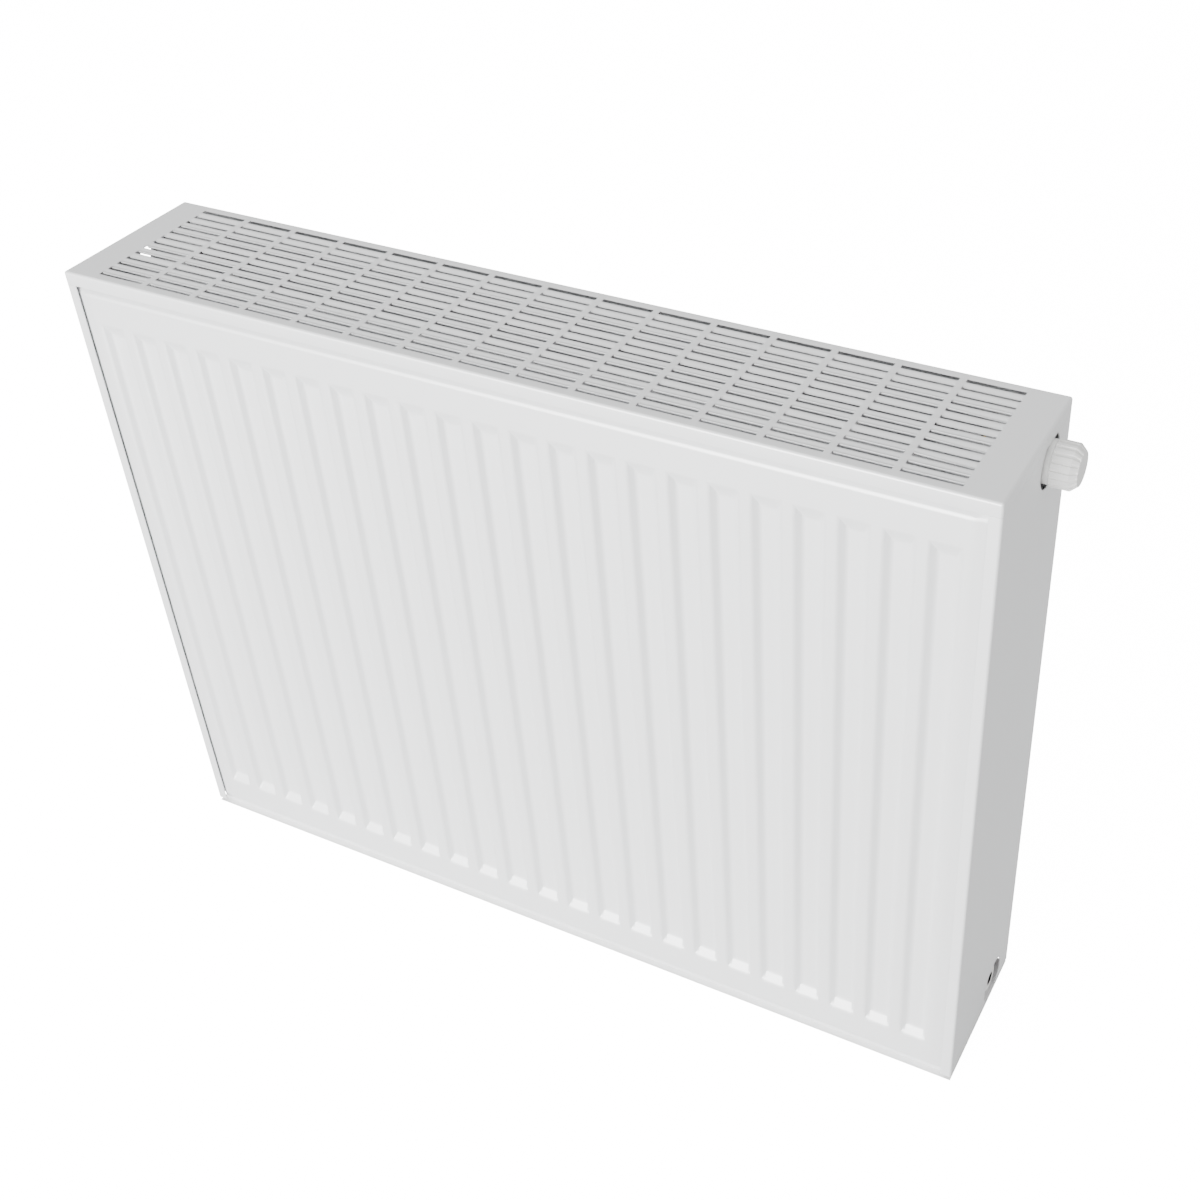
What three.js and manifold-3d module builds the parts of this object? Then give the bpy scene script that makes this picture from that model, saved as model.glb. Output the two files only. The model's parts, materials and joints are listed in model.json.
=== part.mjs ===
// A steel panel radiator with a built-in valve: three water panels, three fin convectors, a slotted
// top grille and two side covers. Millimetres, +Z up, the front faces -Y and the valve is at +X.
// Pieces are placed in the casing's frame: x from the middle of the casing, y from its front plane
// towards the wall, z up from the lower seams of the panels, which the radiator stands on.
import * as THREE from "three";
import { mergeVertices } from "three/addons/utils/BufferGeometryUtils.js";
import Module from "manifold-3d";

const wasm = await Module();
wasm.setup();

// Casing
const LENGTH = 800;
const HEIGHT = 600;
const FIT = 0.3; // clearance between pieces that touch
const COVER_WALL = 1;
const COVER_BEND = 2.2; // outer radius of the folded edges
const LIP_HEIGHT = 11.3; // the grille's fold on all four sides
const FLANGE_WIDTH = 9.5; // front and rear folds of a side cover
const COVER_LIFT = 5; // the side covers end this far above the seams
const CUTOUT_CLEARANCE = 3.3; // from the cap's grip to the edge of a side cover's opening

// Grille
const SLOT_PITCH_X = 49.6;
const SLOT_BAR = 5.3; // crossbar between two slots in a row
const SLOT_END_MARGIN = 28; // least plain sheet at each end
const SLOT_PITCH_Y = 10.4;
const SLOT_WIDTH = 4;
const SLOT_EDGE_MARGIN = 6; // least plain sheet at the front and the back

// Panels
const SHEET = 1.25;
const PRESS_DEPTH = 5.6;
const WELD_GAP = 0.3; // between the two sheets of a panel
const SIDE_INSET = 3.5; // from the side of the casing to a panel's seam
const TOP_INSET = 6; // from the top of the casing to a panel's seam
const SEAM_WIDTH_X = 2.3;
const REAR_SEAM_WIDTH_X = 7.5; // on the rear panel, where the covers' flanges lie before the seams
const SEAM_WIDTH_Z = 5.5;
const EDGE_SLOPE = 6.2; // run of the slope from the top or bottom seam up to the face
const SIDE_SLOPE = 3.2; // run of the slope from a side seam up to the shoulder
const FACE_INSET = 15.6; // from a panel's side to its face
const SHOULDER_DROP = 1.6;
const FLUTE_PITCH = 33;
const FLUTE_FLOOR = 14.4; // width of a flute's floor
const FLUTE_SIDE = 4.3; // run of its side walls
const FLUTE_END = 10; // run of its end walls
const FLUTE_SIDE_MARGIN = 34; // least distance from the side of the casing to a flute's middle
const FLUTE_TO_HUB = 16; // from a hub's height to the flutes' ends

// Convectors
const FIN_DEPTH = 33.4;
const FIN_SHEET = 0.6;
const FIN_FOOT = 12; // flat part of each fold, welded to a panel
const FIN_BETWEEN = 10.6; // space between the two convectors behind the middle panel
const FIN_TOP_INSET = 66;
const FIN_BOTTOM_INSET = 60;
const FIN_HUB_GAP = 8; // from a hub's tube to the nearest fold
const RISER_ROOM = 16; // from the riser's axis to the nearest fold

// Hubs: the tubes and tees that join the panels at the four corners
const HUB_SIDE_INSET = 40; // from the side of the casing to a hub's axis
const LIP_CLEARANCE = 0.5; // from the cap's sleeve up to the grille's lip
const HUB_BOTTOM_INSET = 22;
const THREAD_R = 10.4; // outlet thread, at its crests
const THREAD_CLEARANCE = 0.4;
const BOSS_WALL = 3.2;
const BOSS_LENGTH = 28; // from a hub's axis to the face of its outlet
const TUBE_SHOULDER = 1.2; // from the outlet's bore out to the tube's side
const TUBE_WALL = 3;
const HUB_HOLE_STEP = 1; // the hole in a panel is this much smaller than the tube's bore

// Water connections at the bottom
const OUTLET_SPACING = 50;
const NIPPLE_R = 13.2;
const NIPPLE_BORE_R = 8;
const NIPPLE_CLEAR = 2; // height of the nipples' ends above the seams
const RISER_R = 7.5;
const RISER_WALL = 1;
const BEND_TO_SOCKET = 4; // from the riser's bend to its upper socket
const SOCKET_DEPTH = 10; // how far the riser reaches into its sockets
const SOCKET_WALL = 2;

// Valve and plugs, along the outlet's axis from the hub's axis
const SEAL_R = 1.1; // half thickness of a seal ring
const PLUG_SHAFT = 18;
const PLUG_FACE_INSET = 2.5; // from the side of the casing back to the plug's face
const PLUG_KEY_R = 7;
const PLUG_KEY_DEPTH = 4;
const HEX_R = 17.3; // 30 mm across flats
const HEX_THICKNESS = 2.6;
const COLLAR_R = 14.8;
const COLLAR_LENGTH = 7.6;
const CAGE_REACH = 8; // how far the insert's cage reaches past the hub's axis
const SEAT_WALL = 2;
const SEAT_R = 5;
const CAGE_WALL = 2.4;
const WINDOW = 8; // width and length of the four water windows in the cage
const CHAMBER_R = 6;
const WASHER_R = 6.5;
const WASHER_THICKNESS = 3;
const PIN_NECK = 12; // from the washer to the spring chamber's floor
const PIN_R = 2;
const PIN_COLLAR_R = 4.5;
const PIN_COLLAR = 2;
const SPRING_R = 3.9;
const SPRING_WIRE_R = 0.5;
const SPRING_TURNS = 4;
const GLAND_LENGTH = 11;
const SPINDLE_SEAL_R = 0.6;
const PIN_PROUD = 4; // how far the pin's tip stands out of the collar
const DIAL_R = 12;
const DIAL_THICKNESS = 2.6;
const DIAL_NOTCHES = 8;
const DIAL_NOTCH_DEPTH = 1.5;
const DIAL_NOTCH_WIDTH = 2;
const CAP_WALL = 1.1;
const CAP_GRIP_STEP = 1; // from the sleeve out to the grip
const CAP_GRIP_START = 4; // from the side of the casing to the grip
const CAP_GRIP_LENGTH = 14;
const CAP_NOSE = 5;
const CAP_NOSE_TAPER = 4.4; // from the grip in to the end of the nose
const CAP_END_WALL = 2;
const CAP_RIBS = 18;
const CAP_RIB_DEPTH = 0.8;
const CAP_GROOVE_WIDTH = 1.5;
const CAP_PUSHER_R = 4;
const CAP_TRAVEL = 2;

// Air vent
const VENT_HEAD = 4;
const VENT_SCREW_R = 3;
const VENT_SCREW_LENGTH = 17;
const VENT_PASSAGE_R = 1.2;
const VENT_KEY_R = 3.5; // square head, to its corners
const VENT_KEY_LENGTH = 4;
const NOZZLE_R = 9;
const NOZZLE_BORE_R = 5;
const NOZZLE_THICKNESS = 3.6;
const SPOUT_R = 1.6;
const SPOUT_REACH = 4;
const SPOUT_BORE_R = 0.8;

// Hanging lugs and grille saddles
const LUG_X = 250;
const LUG_END_INSET = 100; // from the panel's top and bottom to a lug's middle
const LUG_HEIGHT = 45;
const LUG_WALL = 2;
const LUG_FOOT = 12;
const LUG_HALF_SPAN = 12;
const LUG_LEAN = 2;
const LUG_STAND = 6; // clear depth behind the lug's strap
const SADDLE_X = 5.5 * SLOT_PITCH_X; // under a crossbar of the grille
const SADDLE_LENGTH = SLOT_BAR;
const SADDLE_DEPTH = 8;
const SADDLE_SKIRT = 4.5; // how far a saddle reaches down beside the seam

// Round pieces that fit together
const BOSS_BORE_R = THREAD_R + THREAD_CLEARANCE;
const BOSS_R = BOSS_BORE_R + BOSS_WALL;
const TUBE_R = BOSS_BORE_R + TUBE_SHOULDER;
const TUBE_BORE_R = TUBE_R - TUBE_WALL;
const HUB_HOLE_R = TUBE_BORE_R - HUB_HOLE_STEP;
const RISER_BORE_R = RISER_R - RISER_WALL;
const CAP_SLEEVE_R = COLLAR_R + FIT + CAP_WALL;
const CAP_GRIP_R = CAP_SLEEVE_R + CAP_GRIP_STEP;
const CUTOUT_R = CAP_GRIP_R + CUTOUT_CLEARANCE;
const HUB_TOP_INSET = LIP_HEIGHT + LIP_CLEARANCE + CAP_SLEEVE_R;
const RISER_BEND = OUTLET_SPACING - TUBE_R - SOCKET_DEPTH - BEND_TO_SOCKET;

// Layout from front to back
const PANEL_DEPTH = 2 * (PRESS_DEPTH + SHEET) + WELD_GAP;
const FRONT_PANEL_Y = COVER_WALL;
const MIDDLE_PANEL_Y = FRONT_PANEL_Y + PANEL_DEPTH + FIN_DEPTH + 2 * FIT;
const HUB_LENGTH = 2 * FIN_DEPTH + FIN_BETWEEN + 2 * FIT;
const REAR_PANEL_Y = MIDDLE_PANEL_Y + PANEL_DEPTH + HUB_LENGTH;
const REAR_SEAM_Y = REAR_PANEL_Y + PRESS_DEPTH;
const COVER_DEPTH = REAR_SEAM_Y - 2 * FIT;
const HUB_Y = MIDDLE_PANEL_Y + PANEL_DEPTH + HUB_LENGTH / 2;
const BACK_Y = REAR_PANEL_Y + PANEL_DEPTH;
const LUG_BACK_Y = BACK_Y + FIT + LUG_STAND + LUG_WALL;

// Layout across and upwards
const SIDE_X = LENGTH / 2;
const HUB_X = SIDE_X - HUB_SIDE_INSET;
const HUB_TOP_Z = HEIGHT - HUB_TOP_INSET;
const HUB_BOTTOM_Z = HUB_BOTTOM_INSET;
const SEAM_X = SIDE_X - SIDE_INSET;
const SEAM_TOP_Z = HEIGHT - TOP_INSET;
const LIP_BOTTOM_Z = HEIGHT - LIP_HEIGHT;
const FLOW_X = HUB_X - OUTLET_SPACING;
const CAP_END_X = SIDE_X + CAP_GRIP_START + CAP_GRIP_LENGTH + CAP_NOSE;

// Stations along an outlet's axis, from the hub's axis
const SEAL_X = BOSS_LENGTH + FIT + SEAL_R;
const HEAD_X = BOSS_LENGTH + 2 * FIT + 2 * SEAL_R;
const COLLAR_END_X = HEAD_X + HEX_THICKNESS + COLLAR_LENGTH;
const PIN_TIP_X = COLLAR_END_X + PIN_PROUD;
const GLAND_X = COLLAR_END_X - GLAND_LENGTH;
const SEAT_X = -CAGE_REACH + SEAT_WALL;
const WASHER_X = SEAT_X + CAP_TRAVEL + FIT; // the cap's travel closes the washer on the seat
const CHAMBER_X = WASHER_X + WASHER_THICKNESS + PIN_NECK;
const PIN_COLLAR_X = GLAND_X - FIT - PIN_COLLAR;
const SPRING_LENGTH = PIN_COLLAR_X - CHAMBER_X - 2 * FIT;

const FULL_TURN = 2 * Math.PI;
const CHAMFER = 1; // on turned pieces
const WELD_DISTANCE = 1e-4; // vertices closer than this are one

// Sides that a round piece is drawn with
const COARSE = 12;
const ROUND = 16;
const FINE = 24;
const CUTOUT_SIDES = 32;
const WIRE_SIDES = 6;
const BEND_SEGMENTS = 3; // flats in a rounded fold

// ---------------------------------------------------------------------------------------------
// Shapes

// A closed three.js geometry as a solid that can be joined and cut.
function solid(geometry) {
  const bare = geometry.index ? geometry.toNonIndexed() : geometry.clone();
  bare.deleteAttribute("normal");
  bare.deleteAttribute("uv");
  const merged = mergeVertices(bare, WELD_DISTANCE);
  return new wasm.Manifold(
    new wasm.Mesh({
      numProp: 3,
      vertProperties: merged.getAttribute("position").array,
      triVerts: new Uint32Array(merged.index.array),
    }),
  );
}

// A solid back as a three.js geometry.
function surface(made) {
  const mesh = made.getMesh();
  return new THREE.BufferGeometry()
    .setAttribute("position", new THREE.BufferAttribute(mesh.vertProperties, 3))
    .setIndex(new THREE.BufferAttribute(mesh.triVerts, 1));
}

// A block between low and high corners.
function block([x0, x1], [y0, y1], [z0, z1]) {
  const geometry = new THREE.BoxGeometry(x1 - x0, y1 - y0, z1 - z0);
  return geometry.translate((x0 + x1) / 2, (y0 + y1) / 2, (z0 + z1) / 2);
}

// A block whose x and z spans hold at y = floor, and whose sides lean out towards y = mouth.
function wedge(x, z, floor, mouth, leanX, leanZ) {
  const geometry = new THREE.BoxGeometry(1, 1, 1);
  const corner = geometry.getAttribute("position");
  for (let i = 0; i < corner.count; i += 1) {
    const high = corner.getY(i) > 0;
    const reach = high === mouth > floor ? Math.abs(mouth - floor) : 0;
    corner.setXYZ(
      i,
      corner.getX(i) < 0 ? x[0] - reach * leanX : x[1] + reach * leanX,
      high ? Math.max(floor, mouth) : Math.min(floor, mouth),
      corner.getZ(i) < 0 ? z[0] - reach * leanZ : z[1] + reach * leanZ,
    );
  }
  return solid(geometry);
}

// A round bar along x, y or z, from one station to another on that axis.
function rod(axis, radius, from, to, sides = ROUND) {
  const geometry = new THREE.CylinderGeometry(radius, radius, to - from, sides);
  geometry.translate(0, (from + to) / 2, 0);
  if (axis === "x") geometry.rotateZ(-Math.PI / 2);
  if (axis === "z") geometry.rotateX(Math.PI / 2);
  return geometry;
}

// A turned piece on the x axis, from [station, radius] pairs that end on the axis or close up.
function turned(profile, sides = ROUND) {
  const points = profile.map(([station, radius]) => new THREE.Vector2(radius, station));
  return new THREE.LatheGeometry(points, sides).rotateZ(-Math.PI / 2);
}

// A turned ring of round section, with its middle at a station on the x axis.
function sealRing(station, ringR, sectionR) {
  const profile = [];
  for (let i = 0; i <= WIRE_SIDES; i += 1) {
    const angle = (-FULL_TURN * (i % WIRE_SIDES)) / WIRE_SIDES;
    profile.push([station + sectionR * Math.sin(angle), ringR + sectionR * Math.cos(angle)]);
  }
  return turned(profile.reverse());
}

// The outline of a folded sheet that follows a path of points, with half its wall on each side.
function foldedSheet(path, wall) {
  const normals = path.slice(1).map((point, i) => {
    const along = new THREE.Vector2().subVectors(point, path[i]).normalize();
    return new THREE.Vector2(-along.y, along.x);
  });
  const edge = (side) =>
    path.map((point, i) => {
      const before = normals[Math.max(i - 1, 0)];
      const after = normals[Math.min(i, normals.length - 1)];
      const mitre = before.clone().add(after).normalize();
      return point.clone().addScaledVector(mitre, (side * wall) / 2 / mitre.dot(before));
    });
  return new THREE.Shape([...edge(-1), ...edge(1).reverse()]);
}

// ---------------------------------------------------------------------------------------------
// Panels

// Spreads a pattern of equal pitch over a length and gives the middles of its cells.
function spread(length, pitch, margin) {
  const count = Math.floor((length - 2 * margin) / pitch) + 1;
  return Array.from({ length: count }, (_, i) => (i - (count - 1) / 2) * pitch);
}

// One pressed sheet of a panel: its face is at y = 0 and its seam lies PRESS_DEPTH behind it.
function pressedSheet(hasHoles, seamWidth) {
  const shoulderX = SEAM_X - seamWidth - SIDE_SLOPE;
  const faceX = SEAM_X - FACE_INSET;
  const faceBottom = SEAM_WIDTH_Z + EDGE_SLOPE;
  const faceTop = SEAM_TOP_Z - SEAM_WIDTH_Z - EDGE_SLOPE;
  const lean = EDGE_SLOPE / PRESS_DEPTH;
  const sideLean = SIDE_SLOPE / (PRESS_DEPTH - SHOULDER_DROP);
  const edgeX = shoulderX - SHOULDER_DROP * sideLean;
  const shoulderLean = (shoulderX - faceX) / SHOULDER_DROP;
  const seam = block([-SEAM_X, SEAM_X], [PRESS_DEPTH, PRESS_DEPTH + SHEET], [0, SEAM_TOP_Z]);
  const raise = (y0, y1) =>
    wedge([-edgeX, edgeX], [faceBottom, faceTop], y0, y1, sideLean, lean).intersect(
      wedge([-faceX, faceX], [-HEIGHT, 2 * HEIGHT], y0, y1, shoulderLean, 0),
    );
  let sheet = solid(seam)
    .add(raise(0, PRESS_DEPTH + SHEET / 2))
    .subtract(raise(SHEET, PRESS_DEPTH + 2 * SHEET));
  const leanX = FLUTE_SIDE / PRESS_DEPTH;
  const leanZ = FLUTE_END / PRESS_DEPTH;
  const fluteZ = [
    HUB_BOTTOM_Z + FLUTE_TO_HUB + FLUTE_END,
    HUB_TOP_Z - FLUTE_TO_HUB - FLUTE_END,
  ];
  for (const middle of spread(LENGTH, FLUTE_PITCH, FLUTE_SIDE_MARGIN)) {
    const x = [middle - FLUTE_FLOOR / 2, middle + FLUTE_FLOOR / 2];
    sheet = sheet
      .add(wedge(x, fluteZ, PRESS_DEPTH + SHEET, 0, leanX, leanZ))
      .subtract(wedge(x, fluteZ, PRESS_DEPTH, -SHEET, leanX, leanZ));
  }
  if (hasHoles) {
    for (const x of [-HUB_X, HUB_X]) {
      for (const z of [HUB_BOTTOM_Z, HUB_TOP_Z]) {
        const hole = rod("y", HUB_HOLE_R, -SHEET, PANEL_DEPTH, COARSE).translate(x, 0, z);
        sheet = sheet.subtract(solid(hole));
      }
    }
  }
  return surface(sheet);
}

// ---------------------------------------------------------------------------------------------
// Convectors: one sheet folded to and fro between two panels

function convector(fromX, toX) {
  const low = FIN_SHEET / 2;
  const high = FIN_DEPTH - FIN_SHEET / 2;
  const leg = FLUTE_PITCH / 2 - FIN_FOOT;
  const count = Math.floor((toX - fromX - FIN_FOOT) / FLUTE_PITCH);
  const start = toX - count * FLUTE_PITCH - FIN_FOOT;
  const path = [];
  for (let i = 0; i < count; i += 1) {
    const x = start + i * FLUTE_PITCH;
    path.push(new THREE.Vector2(x, low), new THREE.Vector2(x + FIN_FOOT, low));
    path.push(new THREE.Vector2(x + FIN_FOOT + leg, high));
    path.push(new THREE.Vector2(x + 2 * FIN_FOOT + leg, high));
  }
  path.push(new THREE.Vector2(toX - FIN_FOOT, low), new THREE.Vector2(toX, low));
  const depth = HEIGHT - FIN_TOP_INSET - FIN_BOTTOM_INSET;
  const geometry = new THREE.ExtrudeGeometry(foldedSheet(path, FIN_SHEET), {
    depth,
    bevelEnabled: false,
  });
  return geometry.translate(0, 0, FIN_BOTTOM_INSET);
}

// ---------------------------------------------------------------------------------------------
// Hubs, pipes and nipples

// A plain tube along y between two panels.
function linkTube(length) {
  const bore = solid(rod("y", TUBE_BORE_R, -FIT, length + FIT));
  return surface(solid(rod("y", TUBE_R, FIT, length - FIT)).subtract(bore));
}

// A tee on its own hub axis: a tube along y with an outlet towards +x.
function tee({ riserInlet = false, bottomOutlet = false }) {
  const half = HUB_LENGTH / 2;
  const boss = solid(rod("x", BOSS_R, 0, BOSS_LENGTH));
  let made = solid(rod("y", TUBE_R, FIT - half, half - FIT)).add(boss);
  if (riserInlet) {
    const inlet = rod("x", RISER_R + FIT + SOCKET_WALL, -TUBE_R - SOCKET_DEPTH, 0);
    made = made.add(solid(inlet));
  }
  made = made.subtract(solid(rod("y", TUBE_BORE_R, -half, half)));
  made = made.subtract(solid(rod("x", BOSS_BORE_R, SEAT_WALL - TUBE_R, BOSS_LENGTH + FIT)));
  if (riserInlet) {
    made = made.subtract(solid(rod("x", RISER_R + FIT, -TUBE_R - SOCKET_DEPTH - FIT, -TUBE_R)));
    made = made.subtract(solid(rod("x", SEAT_R, -TUBE_R - FIT, 0)));
  }
  if (bottomOutlet) made = made.subtract(solid(rod("z", NIPPLE_BORE_R, -TUBE_R - FIT, 0)));
  return surface(made);
}

// The return nipple is saddled onto the tube of its tee; z = 0 is the tee's axis.
function returnNipple() {
  const end = NIPPLE_CLEAR - HUB_BOTTOM_Z;
  const tube = solid(rod("y", TUBE_R + FIT, -2 * NIPPLE_R, 2 * NIPPLE_R));
  const boss = solid(rod("x", BOSS_R + FIT, 0, BOSS_LENGTH));
  return surface(
    solid(rod("z", NIPPLE_R, end, 0))
      .subtract(solid(rod("z", NIPPLE_BORE_R, end - FIT, FIT)))
      .subtract(tube)
      .subtract(boss),
  );
}

// The flow nipple carries the foot of the riser.
function flowNipple() {
  const top = HUB_BOTTOM_Z + SOCKET_DEPTH;
  return surface(
    solid(rod("z", NIPPLE_R, NIPPLE_CLEAR, top))
      .subtract(solid(rod("z", RISER_BORE_R, NIPPLE_CLEAR - FIT, top)))
      .subtract(solid(rod("z", RISER_R + FIT, top - SOCKET_DEPTH - FIT, top + FIT))),
  );
}

// A round bar through a row of points, with a ball at each corner.
function barThrough(points, radius) {
  let made = null;
  points.slice(1).forEach((end, i) => {
    const along = new THREE.Vector3().subVectors(end, points[i]);
    const piece = new THREE.CylinderGeometry(radius, radius, along.length(), ROUND);
    const turn = new THREE.Quaternion().setFromUnitVectors(
      new THREE.Vector3(0, 1, 0),
      along.clone().normalize(),
    );
    piece.applyQuaternion(turn).translate(...points[i].clone().addScaledVector(along, 0.5));
    made = made ? made.add(solid(piece)) : solid(piece);
    const corner = new THREE.SphereGeometry(radius, COARSE, COARSE / 2).translate(...points[i]);
    if (i > 0) made = made.add(solid(corner));
  });
  return made;
}

// The riser leads water from the flow nipple up to the valve tee; its foot is at the origin.
function riserPipe(rise, run) {
  const route = (foot, end) => [
    new THREE.Vector3(0, 0, foot),
    new THREE.Vector3(0, 0, rise - RISER_BEND),
    new THREE.Vector3(RISER_BEND, 0, rise),
    new THREE.Vector3(end, 0, rise),
  ];
  const bore = barThrough(route(-FIT, run + FIT), RISER_BORE_R);
  return surface(barThrough(route(0, run), RISER_R).subtract(bore));
}

// ---------------------------------------------------------------------------------------------
// Covers

// A tray with rounded folds that opens downwards, its top at z = 0.
function roundedTray(x, y, depth, bend) {
  const shape = new THREE.Shape([
    new THREE.Vector2(x[0] + bend, y[0] + bend),
    new THREE.Vector2(x[1] - bend, y[0] + bend),
    new THREE.Vector2(x[1] - bend, y[1] - bend),
    new THREE.Vector2(x[0] + bend, y[1] - bend),
  ]);
  const geometry = new THREE.ExtrudeGeometry(shape, {
    depth,
    bevelThickness: bend,
    bevelSize: bend,
    bevelSegments: BEND_SEGMENTS,
  });
  return solid(geometry.translate(0, 0, -depth - bend));
}

function topGrille() {
  const spanX = [-SIDE_X, SIDE_X];
  const spanY = [0, COVER_DEPTH];
  const inner = (span) => [span[0] + COVER_WALL, span[1] - COVER_WALL];
  const outerTray = roundedTray(spanX, spanY, LIP_HEIGHT, COVER_BEND);
  const innerTray = roundedTray(inner(spanX), inner(spanY), 2 * LIP_HEIGHT, COVER_BEND - COVER_WALL);
  const below = block([-LENGTH, LENGTH], [-COVER_DEPTH, 2 * COVER_DEPTH], [-3 * LIP_HEIGHT, -LIP_HEIGHT]);
  const hollow = surface(innerTray).translate(0, 0, -COVER_WALL);
  let made = outerTray.subtract(solid(hollow)).subtract(solid(below));
  const slotX = (SLOT_PITCH_X - SLOT_BAR) / 2;
  const columns = spread(LENGTH, SLOT_PITCH_X, SLOT_END_MARGIN + slotX);
  const rows = spread(COVER_DEPTH, SLOT_PITCH_Y, SLOT_EDGE_MARGIN + SLOT_WIDTH / 2);
  for (const x of columns) {
    for (const row of rows) {
      const y = COVER_DEPTH / 2 + row;
      const slot = block(
        [x - slotX, x + slotX],
        [y - SLOT_WIDTH / 2, y + SLOT_WIDTH / 2],
        [-2 * COVER_WALL, COVER_WALL],
      );
      made = made.subtract(solid(slot));
    }
  }
  return surface(made);
}

// A side cover at +x: a channel with two flanges, cut out around both outlets. Turned half round, it
// is the left-hand cover, so its cut-outs' depth is counted from the flange at y = 0 either way.
function sideCover(cutoutY) {
  const wall = COVER_WALL;
  const inner = COVER_BEND - wall;
  const back = COVER_DEPTH;
  const outer = SIDE_X;
  const tip = outer - FLANGE_WIDTH;
  const quarter = Math.PI / 2;
  const shape = new THREE.Shape()
    .moveTo(tip, 0)
    .absarc(outer - COVER_BEND, COVER_BEND, COVER_BEND, -quarter, 0)
    .absarc(outer - COVER_BEND, back - COVER_BEND, COVER_BEND, 0, quarter)
    .lineTo(tip, back)
    .lineTo(tip, back - wall)
    .absarc(outer - COVER_BEND, back - COVER_BEND, inner, quarter, 0, true)
    .absarc(outer - COVER_BEND, COVER_BEND, inner, 0, -quarter, true)
    .lineTo(tip, wall);
  const height = LIP_BOTTOM_Z - FIT - COVER_LIFT;
  const channel = new THREE.ExtrudeGeometry(shape, {
    depth: height,
    curveSegments: BEND_SEGMENTS,
    bevelEnabled: false,
  });
  let made = solid(channel.translate(0, 0, COVER_LIFT));
  for (const z of [HUB_BOTTOM_Z, HUB_TOP_Z]) {
    const opening = rod("x", CUTOUT_R, outer - 2 * wall, outer + wall, CUTOUT_SIDES);
    made = made.subtract(solid(opening.translate(0, cutoutY, z)));
  }
  return surface(made);
}

// ---------------------------------------------------------------------------------------------
// Valve and plugs, each on the x axis with the hub's axis at x = 0

function blankPlug() {
  const face = HUB_SIDE_INSET - PLUG_FACE_INSET;
  const body = turned([
    [BOSS_LENGTH - PLUG_SHAFT, 0],
    [BOSS_LENGTH - PLUG_SHAFT, THREAD_R],
    [HEAD_X, THREAD_R],
    [HEAD_X, BOSS_R],
    [face - CHAMFER, BOSS_R],
    [face, BOSS_R - CHAMFER],
    [face, 0],
  ]);
  const key = rod("x", PLUG_KEY_R, face - PLUG_KEY_DEPTH, face + FIT, 6);
  return surface(solid(body).subtract(solid(key)));
}

function plugSeal() {
  return sealRing(SEAL_X, THREAD_R + FIT + SEAL_R, SEAL_R);
}

// The insert: a cage with a seat at its inner end, a spring chamber, a hexagon and a threaded collar.
function valveInsert() {
  const start = -CAGE_REACH;
  const cageBoreR = THREAD_R - CAGE_WALL;
  const cageEnd = CHAMBER_X - SEAT_WALL;
  let made = solid(
    turned([
      [start, SEAT_R],
      [start, THREAD_R],
      [HEAD_X, THREAD_R],
      [HEAD_X, COLLAR_R],
      [COLLAR_END_X, COLLAR_R],
      [COLLAR_END_X, CHAMBER_R],
      [CHAMBER_X, CHAMBER_R],
      [CHAMBER_X, PIN_R + FIT],
      [cageEnd, PIN_R + FIT],
      [cageEnd, cageBoreR],
      [SEAT_X, cageBoreR],
      [SEAT_X, SEAT_R],
      [start, SEAT_R],
    ]),
  );
  made = made.add(
    solid(rod("x", HEX_R, HEAD_X, HEAD_X + HEX_THICKNESS, 6)).subtract(
      solid(rod("x", THREAD_R + CHAMFER, HEAD_X - FIT, HEAD_X + HEX_THICKNESS + FIT)),
    ),
  );
  const windowFrom = SEAT_X + CHAMFER;
  for (const axis of ["y", "z"]) {
    const reach = [-2 * THREAD_R, 2 * THREAD_R];
    const across = [-WINDOW / 2, WINDOW / 2];
    const span = [windowFrom, windowFrom + WINDOW];
    const cut = axis === "y" ? block(span, reach, across) : block(span, across, reach);
    made = made.subtract(solid(cut));
  }
  return surface(made);
}

// The washer closes on the seat when the pin is pushed in.
function valveWasher() {
  return turned([
    [WASHER_X, 0],
    [WASHER_X, WASHER_R - CHAMFER],
    [WASHER_X + CHAMFER, WASHER_R],
    [WASHER_X + WASHER_THICKNESS, WASHER_R],
    [WASHER_X + WASHER_THICKNESS, 0],
  ]);
}

function valvePin() {
  const start = WASHER_X + WASHER_THICKNESS + FIT;
  return turned(
    [
      [start, 0],
      [start, PIN_R],
      [PIN_COLLAR_X, PIN_R],
      [PIN_COLLAR_X, PIN_COLLAR_R],
      [PIN_COLLAR_X + PIN_COLLAR, PIN_COLLAR_R],
      [PIN_COLLAR_X + PIN_COLLAR, PIN_R],
      [PIN_TIP_X - CHAMFER, PIN_R],
      [PIN_TIP_X, PIN_R - CHAMFER],
      [PIN_TIP_X, 0],
    ],
    COARSE,
  );
}

// The return spring, between the chamber's floor and the pin's collar.
class Helix extends THREE.Curve {
  getPoint(t, target = new THREE.Vector3()) {
    const angle = FULL_TURN * SPRING_TURNS * t;
    const run = SPRING_LENGTH - 2 * SPRING_WIRE_R;
    const station = CHAMBER_X + FIT + SPRING_WIRE_R + run * t;
    return target.set(station, SPRING_R * Math.cos(angle), SPRING_R * Math.sin(angle));
  }
}

function valveSpring() {
  const wire = new THREE.Shape().absarc(0, 0, SPRING_WIRE_R, 0, FULL_TURN);
  return new THREE.ExtrudeGeometry(wire, {
    steps: SPRING_TURNS * 10,
    curveSegments: WIRE_SIDES / 2,
    extrudePath: new Helix(),
  });
}

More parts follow.
